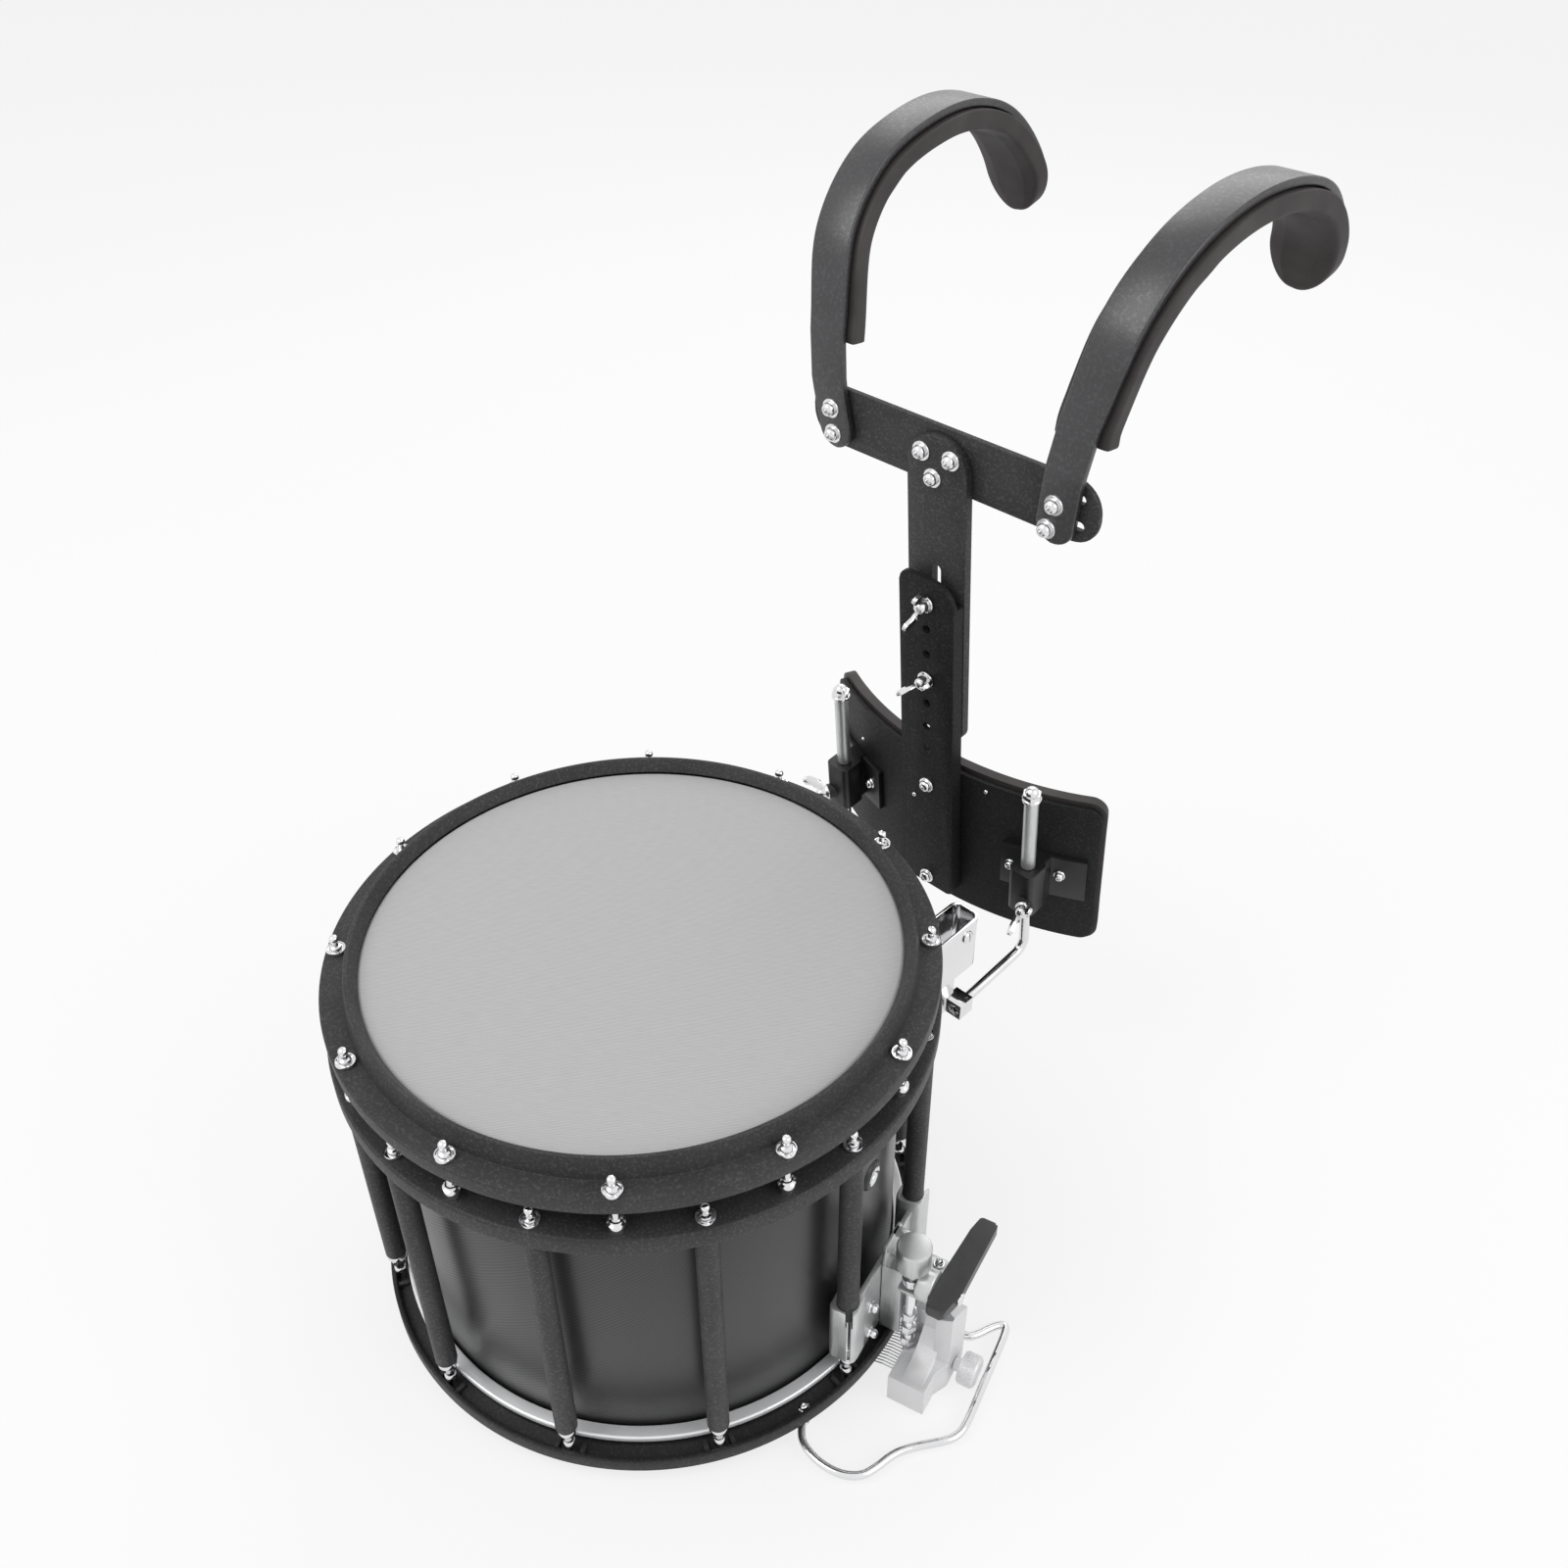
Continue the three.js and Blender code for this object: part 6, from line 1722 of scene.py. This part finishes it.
@dataclass
class Shoulders:
    """The two shoulder arms, bent from flat bar, and the foam pads under their arches."""

    start: Points = (104.0, 18.6, 338.8)
    spread: Points = (21.0, 243.0, 108.4)
    course: Points = (
        (0, 0, 0), (0.48, 0.095, 0.56), (0.74, 0.263, 0.88), (0.86, 0.493, 1), (1, 0.703, 0.958),
        (1, 0.861, 0.795), (0.81, 0.965, 0.48), (0.48, 1, 0.093),
    )
    thick: float = 6.0
    foot_half: float = 14.25
    foot_front: float = 11.8
    foot_top: float = 305.0
    foot_base: float = 254.0
    feet: Points = ((93.5, 254.6), (90.0, 258.6))
    pad_tails: tuple[float, float] = (14.0, 6.0)
    arm_width: float = 31.0
    pad_width: float = 41.0
    arm_paddle: float = 5.0
    pad_paddle: float = 9.0
    step: float = 0.012
    pad_seat: float = 7.0
    pad_deep: float = 21.4
    foot_lean: float = 0.15
    paddle_from: float = 0.6
    paddle_over: float = 0.28
    tip_from: float = 0.9
    parts: int = 90
    tip_parts: int = 14

    def arch(self, share: float) -> Vector:
        """A point on the arch: a centripetal Catmull-Rom curve through the course."""
        knots = [
            Vector([a + b * c for a, b, c in zip(self.start, self.spread, knot)]) for knot in self.course
        ]
        knots = [2 * knots[0] - knots[1], *knots, 2 * knots[-1] - knots[-2]]
        place = share * (len(self.course) - 1)
        i = min(int(place), len(self.course) - 2)
        t = place - i
        a, b, c, d = knots[i:i + 4]
        gaps = [math.sqrt((q - p).length) for p, q in ((a, b), (b, c), (c, d))]
        leave = ((b - a) / gaps[0] - (c - a) / (gaps[0] + gaps[1]) + (c - b) / gaps[1]) * gaps[1]
        reach = ((c - b) / gaps[1] - (d - b) / (gaps[1] + gaps[2]) + (d - c) / gaps[2]) * gaps[1]
        second, third = 3 * (c - b) - 2 * leave - reach, 2 * (b - c) + leave + reach
        return b + leave * t + second * t ** 2 + third * t ** 3

    def half_width(self, share: float, width: float, paddle: float) -> float:
        """Half the width along the arch: it widens to a paddle and ends round."""
        ease = max(0.0, min(1.0, (share - self.paddle_from) / self.paddle_over))
        full = (width + ease * ease * (3 - 2 * ease) * paddle) / 2
        tip = max(0.0, (share - self.tip_from) / (1 - self.tip_from))
        return full * max(math.sqrt(max(0.0, 1 - tip * tip)), 0.05)

    def shares(self) -> list[float]:
        """The stations on the arch, closer together at its round end."""
        last, parts = self.tip_from, self.tip_parts
        return [last * k / self.parts for k in range(1, self.parts)] + [
            last + (1 - last) * math.sin(math.pi / 2 * k / parts) for k in range(parts + 1)
        ]

    def arm(self, aside: float, low: float) -> bpy.types.Mesh:
        """An arm, from its round foot to the end of its paddle.

        Args:
            aside: how far its foot lies from the middle.
            low: the foot's end.

        Returns:
            The right arm.
        """
        slant = (self.start[0] - aside) / (self.start[2] - self.foot_base)
        stations: list[tuple[Vector, float]] = []
        for k in range(9):
            angle = math.pi / 2 * (0.06 + 0.94 * k / 8)
            z = low + self.foot_half * (1 - math.cos(angle))
            stations.append((Vector((aside + slant * (z - self.foot_base), self.foot_front, z)),
                             self.foot_half * math.sin(angle)))
        for z in (self.foot_top - 20, self.foot_top - 5, self.foot_top + 4):
            front = self.foot_front + max(0.0, z - self.foot_top) * self.foot_lean
            stations.append((Vector((aside + slant * (z - self.foot_base), front, z)), self.foot_half))
        stations.append((self.arch(0), self.foot_half))
        stations += [
            (self.arch(share), self.half_width(share, self.arm_width, self.arm_paddle)
             + (self.foot_half - self.arm_width / 2) * max(0.0, 1 - share / 0.1))
            for share in self.shares() if share > self.step
        ]

        def section(i: int) -> list[Vector]:
            """The bar's section, with eased corners."""
            half = stations[i][1]
            return eased([(-half, 0), (half, 0), (half, self.thick), (-half, self.thick)], 1.3, 3)

        return swept([point for point, _ in stations], section, (1, 0, 0))

    def pad(self, tail: float) -> bpy.types.Mesh:
        """The right pad: flat under the arm, crowned below and round at its far end.

        Args:
            tail: how far it reaches below the arch, behind the foot.

        Returns:
            The pad's form.
        """
        shares = [0.0] * 5 + [share for share in self.shares() if share < 0.9985]
        first = self.arch(0)
        down = (Vector((first.x, self.foot_front, self.foot_top)) - first).normalized()
        path = [first + down * tail * (1 - k / 5) for k in range(5)]
        path += [self.arch(share) for share in shares[5:]]

        def section(i: int) -> list[Vector]:
            """The pad's section, drawn in towards both ends."""
            half = self.half_width(shares[i], self.pad_width, self.pad_paddle)
            near = min(1.0, (1 - shares[i]) / 0.012 + 0.35)
            deep = self.pad_seat + (self.pad_deep - self.pad_seat) * (0.8 + 0.2 * near)
            outline = [(-half * 0.5, self.pad_seat), (half * 0.5, self.pad_seat), (half, self.pad_seat),
                       (half, deep - 1.5), (half * 0.5, deep), (-half * 0.5, deep), (-half, deep - 1.5),
                       (-half, self.pad_seat)]
            return eased(outline, [0.1, 0.1, 1.6, 3.2, 6, 6, 3.2, 1.6])

        return swept(path, section, (1, 0, 0))

    def build(self) -> None:
        """Places both arms and their pads."""
        for (name, mirror), foot, tail in zip((("right", 1), ("left", -1)), self.feet, self.pad_tails):
            turn, body = CARRIER @ Matrix.Diagonal((mirror, 1, 1, 1)), f"shoulder_{name}"
            padded(f"shoulder_foam_{name}", f"shoulder_pad_{name}", self.pad(tail), 0.6, body, turn)
            placed(f"bent_arm_{name}", self.arm(*foot), ARM_COAT, body, f"shoulder_arm_{name}", turn=turn)


# ---------------------------------------------------------------------------------- the studio


@dataclass
class Studio:
    """The floor, the light and the camera, which stands where the photograph's did."""

    floor_z: float = -0.3102
    floor: float = 14.0
    glow: float = 0.76
    ambient: float = 0.6
    lens: float = 35.768
    spot: tuple[float, float, float] = (0.58416, -0.45366, 0.70976)
    right: tuple[float, float, float] = (0.717205, 0.696832, -0.006541)
    up: tuple[float, float, float] = (-0.429513, 0.449423, 0.783286)
    aim: tuple[float, float, float] = (0.0, 0.1, -0.1)
    lamps: tuple[tuple, ...] = (
        ("key", (-0.9, -1.6, 2.2), 1.8, 30), ("fill", (2.0, 0.6, 1.3), 1.6, 16),
        ("back", (-1.0, 1.9, 1.6), 1.6, 12),
    )

    def seen(self, graph: Graph) -> Wire:
        """One for rays that see a surface directly, in a mirror or through glass."""
        path = graph.node("ShaderNodeLightPath")
        rays = [Wire(graph, path.outputs[f"Is {kind} Ray"]) for kind in ("Camera", "Glossy", "Transmission")]
        return rays[0].math("MAXIMUM", rays[0].math("MAXIMUM", rays[0], rays[1]), rays[2])

    def ground(self) -> None:
        """A wide pale floor that keeps a faint shadow."""
        mesh = bpy.data.meshes.new("studio_floor")
        half = self.floor / 2
        corners = [(x * half, y * half, self.floor_z) for x, y in ((-1, -1), (1, -1), (1, 1), (-1, 1))]
        mesh.from_pydata(corners, [], [(0, 1, 2, 3)])
        material = bpy.data.materials.new("studio_floor")
        material.use_nodes = True
        graph = Graph(material.node_tree)
        matt = graph.wire("ShaderNodeBsdfDiffuse", None, {"Color": (0.9, 0.9, 0.9, 1)})
        light = graph.wire("ShaderNodeEmission", None, {"Color": (1, 1, 1, 1), "Strength": 1.0})
        mix = graph.node("ShaderNodeMixShader")
        graph.feed(mix.inputs[0], self.seen(graph) * self.glow)
        graph.feed(mix.inputs[1], matt)
        graph.feed(mix.inputs[2], light)
        output = graph.node("ShaderNodeOutputMaterial")
        graph.feed(output.inputs["Surface"], Wire(graph, mix.outputs[0]))
        mesh.materials.append(material)
        floor = bpy.data.objects.new("studio_floor", mesh)
        bpy.context.scene.collection.objects.link(floor)

    def sky(self) -> None:
        """White to look at, and a soft grey to light by."""
        world = bpy.data.worlds.new("studio")
        bpy.context.scene.world = world
        world.use_nodes = True
        graph = Graph(world.node_tree)
        grey = graph.wire("ShaderNodeBackground", None, {"Color": (1, 1, 1, 1), "Strength": self.ambient})
        white = graph.wire("ShaderNodeBackground", None, {"Color": (1, 1, 1, 1), "Strength": 1.0})
        mix = graph.node("ShaderNodeMixShader")
        graph.feed(mix.inputs[0], self.seen(graph))
        graph.feed(mix.inputs[1], grey)
        graph.feed(mix.inputs[2], white)
        output = graph.node("ShaderNodeOutputWorld")
        graph.feed(output.inputs["Surface"], Wire(graph, mix.outputs[0]))

    def lamp(self, name: str, place: Sequence[float], size: float, watts: float) -> None:
        """A square soft light that faces the drum.

        Args:
            name: its name.
            place: where it stands, in metres.
            size: its side.
            watts: its power.
        """
        data = bpy.data.lights.new(name, "AREA")
        data.size, data.energy = size, watts
        light = bpy.data.objects.new(name, data)
        light.location = place
        aim = Vector(self.aim) - Vector(place)
        light.rotation_euler = aim.to_track_quat("-Z", "Y").to_euler()
        bpy.context.scene.collection.objects.link(light)

    def camera(self) -> None:
        """The camera, at the photograph's place."""
        data = bpy.data.cameras.new("photo_camera")
        data.lens, data.sensor_width = self.lens, 36.0
        data.clip_start, data.clip_end = 0.01, 100.0
        camera = bpy.data.objects.new("photo_camera", data)
        right, up = Vector(self.right), Vector(self.up)
        back = right.cross(up)
        camera.matrix_world = Matrix.Translation(self.spot) @ Matrix((right, up, back)).transposed().to_4x4()
        bpy.context.scene.collection.objects.link(camera)
        bpy.context.scene.camera = camera

    def build(self) -> None:
        """Sets up the whole studio."""
        bpy.context.scene.view_settings.view_transform = "Standard"
        self.ground()
        self.sky()
        for lamp in self.lamps:
            self.lamp(*lamp)
        self.camera()


def main() -> None:
    """Builds the drum, its carrier and the studio."""
    logging.basicConfig(level=logging.INFO, format="%(name)s %(message)s")
    for part in (Harness(), Shoulders(), Shell(), Hoops(), Rods(), Strainer(), Snares(), Hangers(), Studio()):
        part.build()


if __name__ == "__main__":
    main()
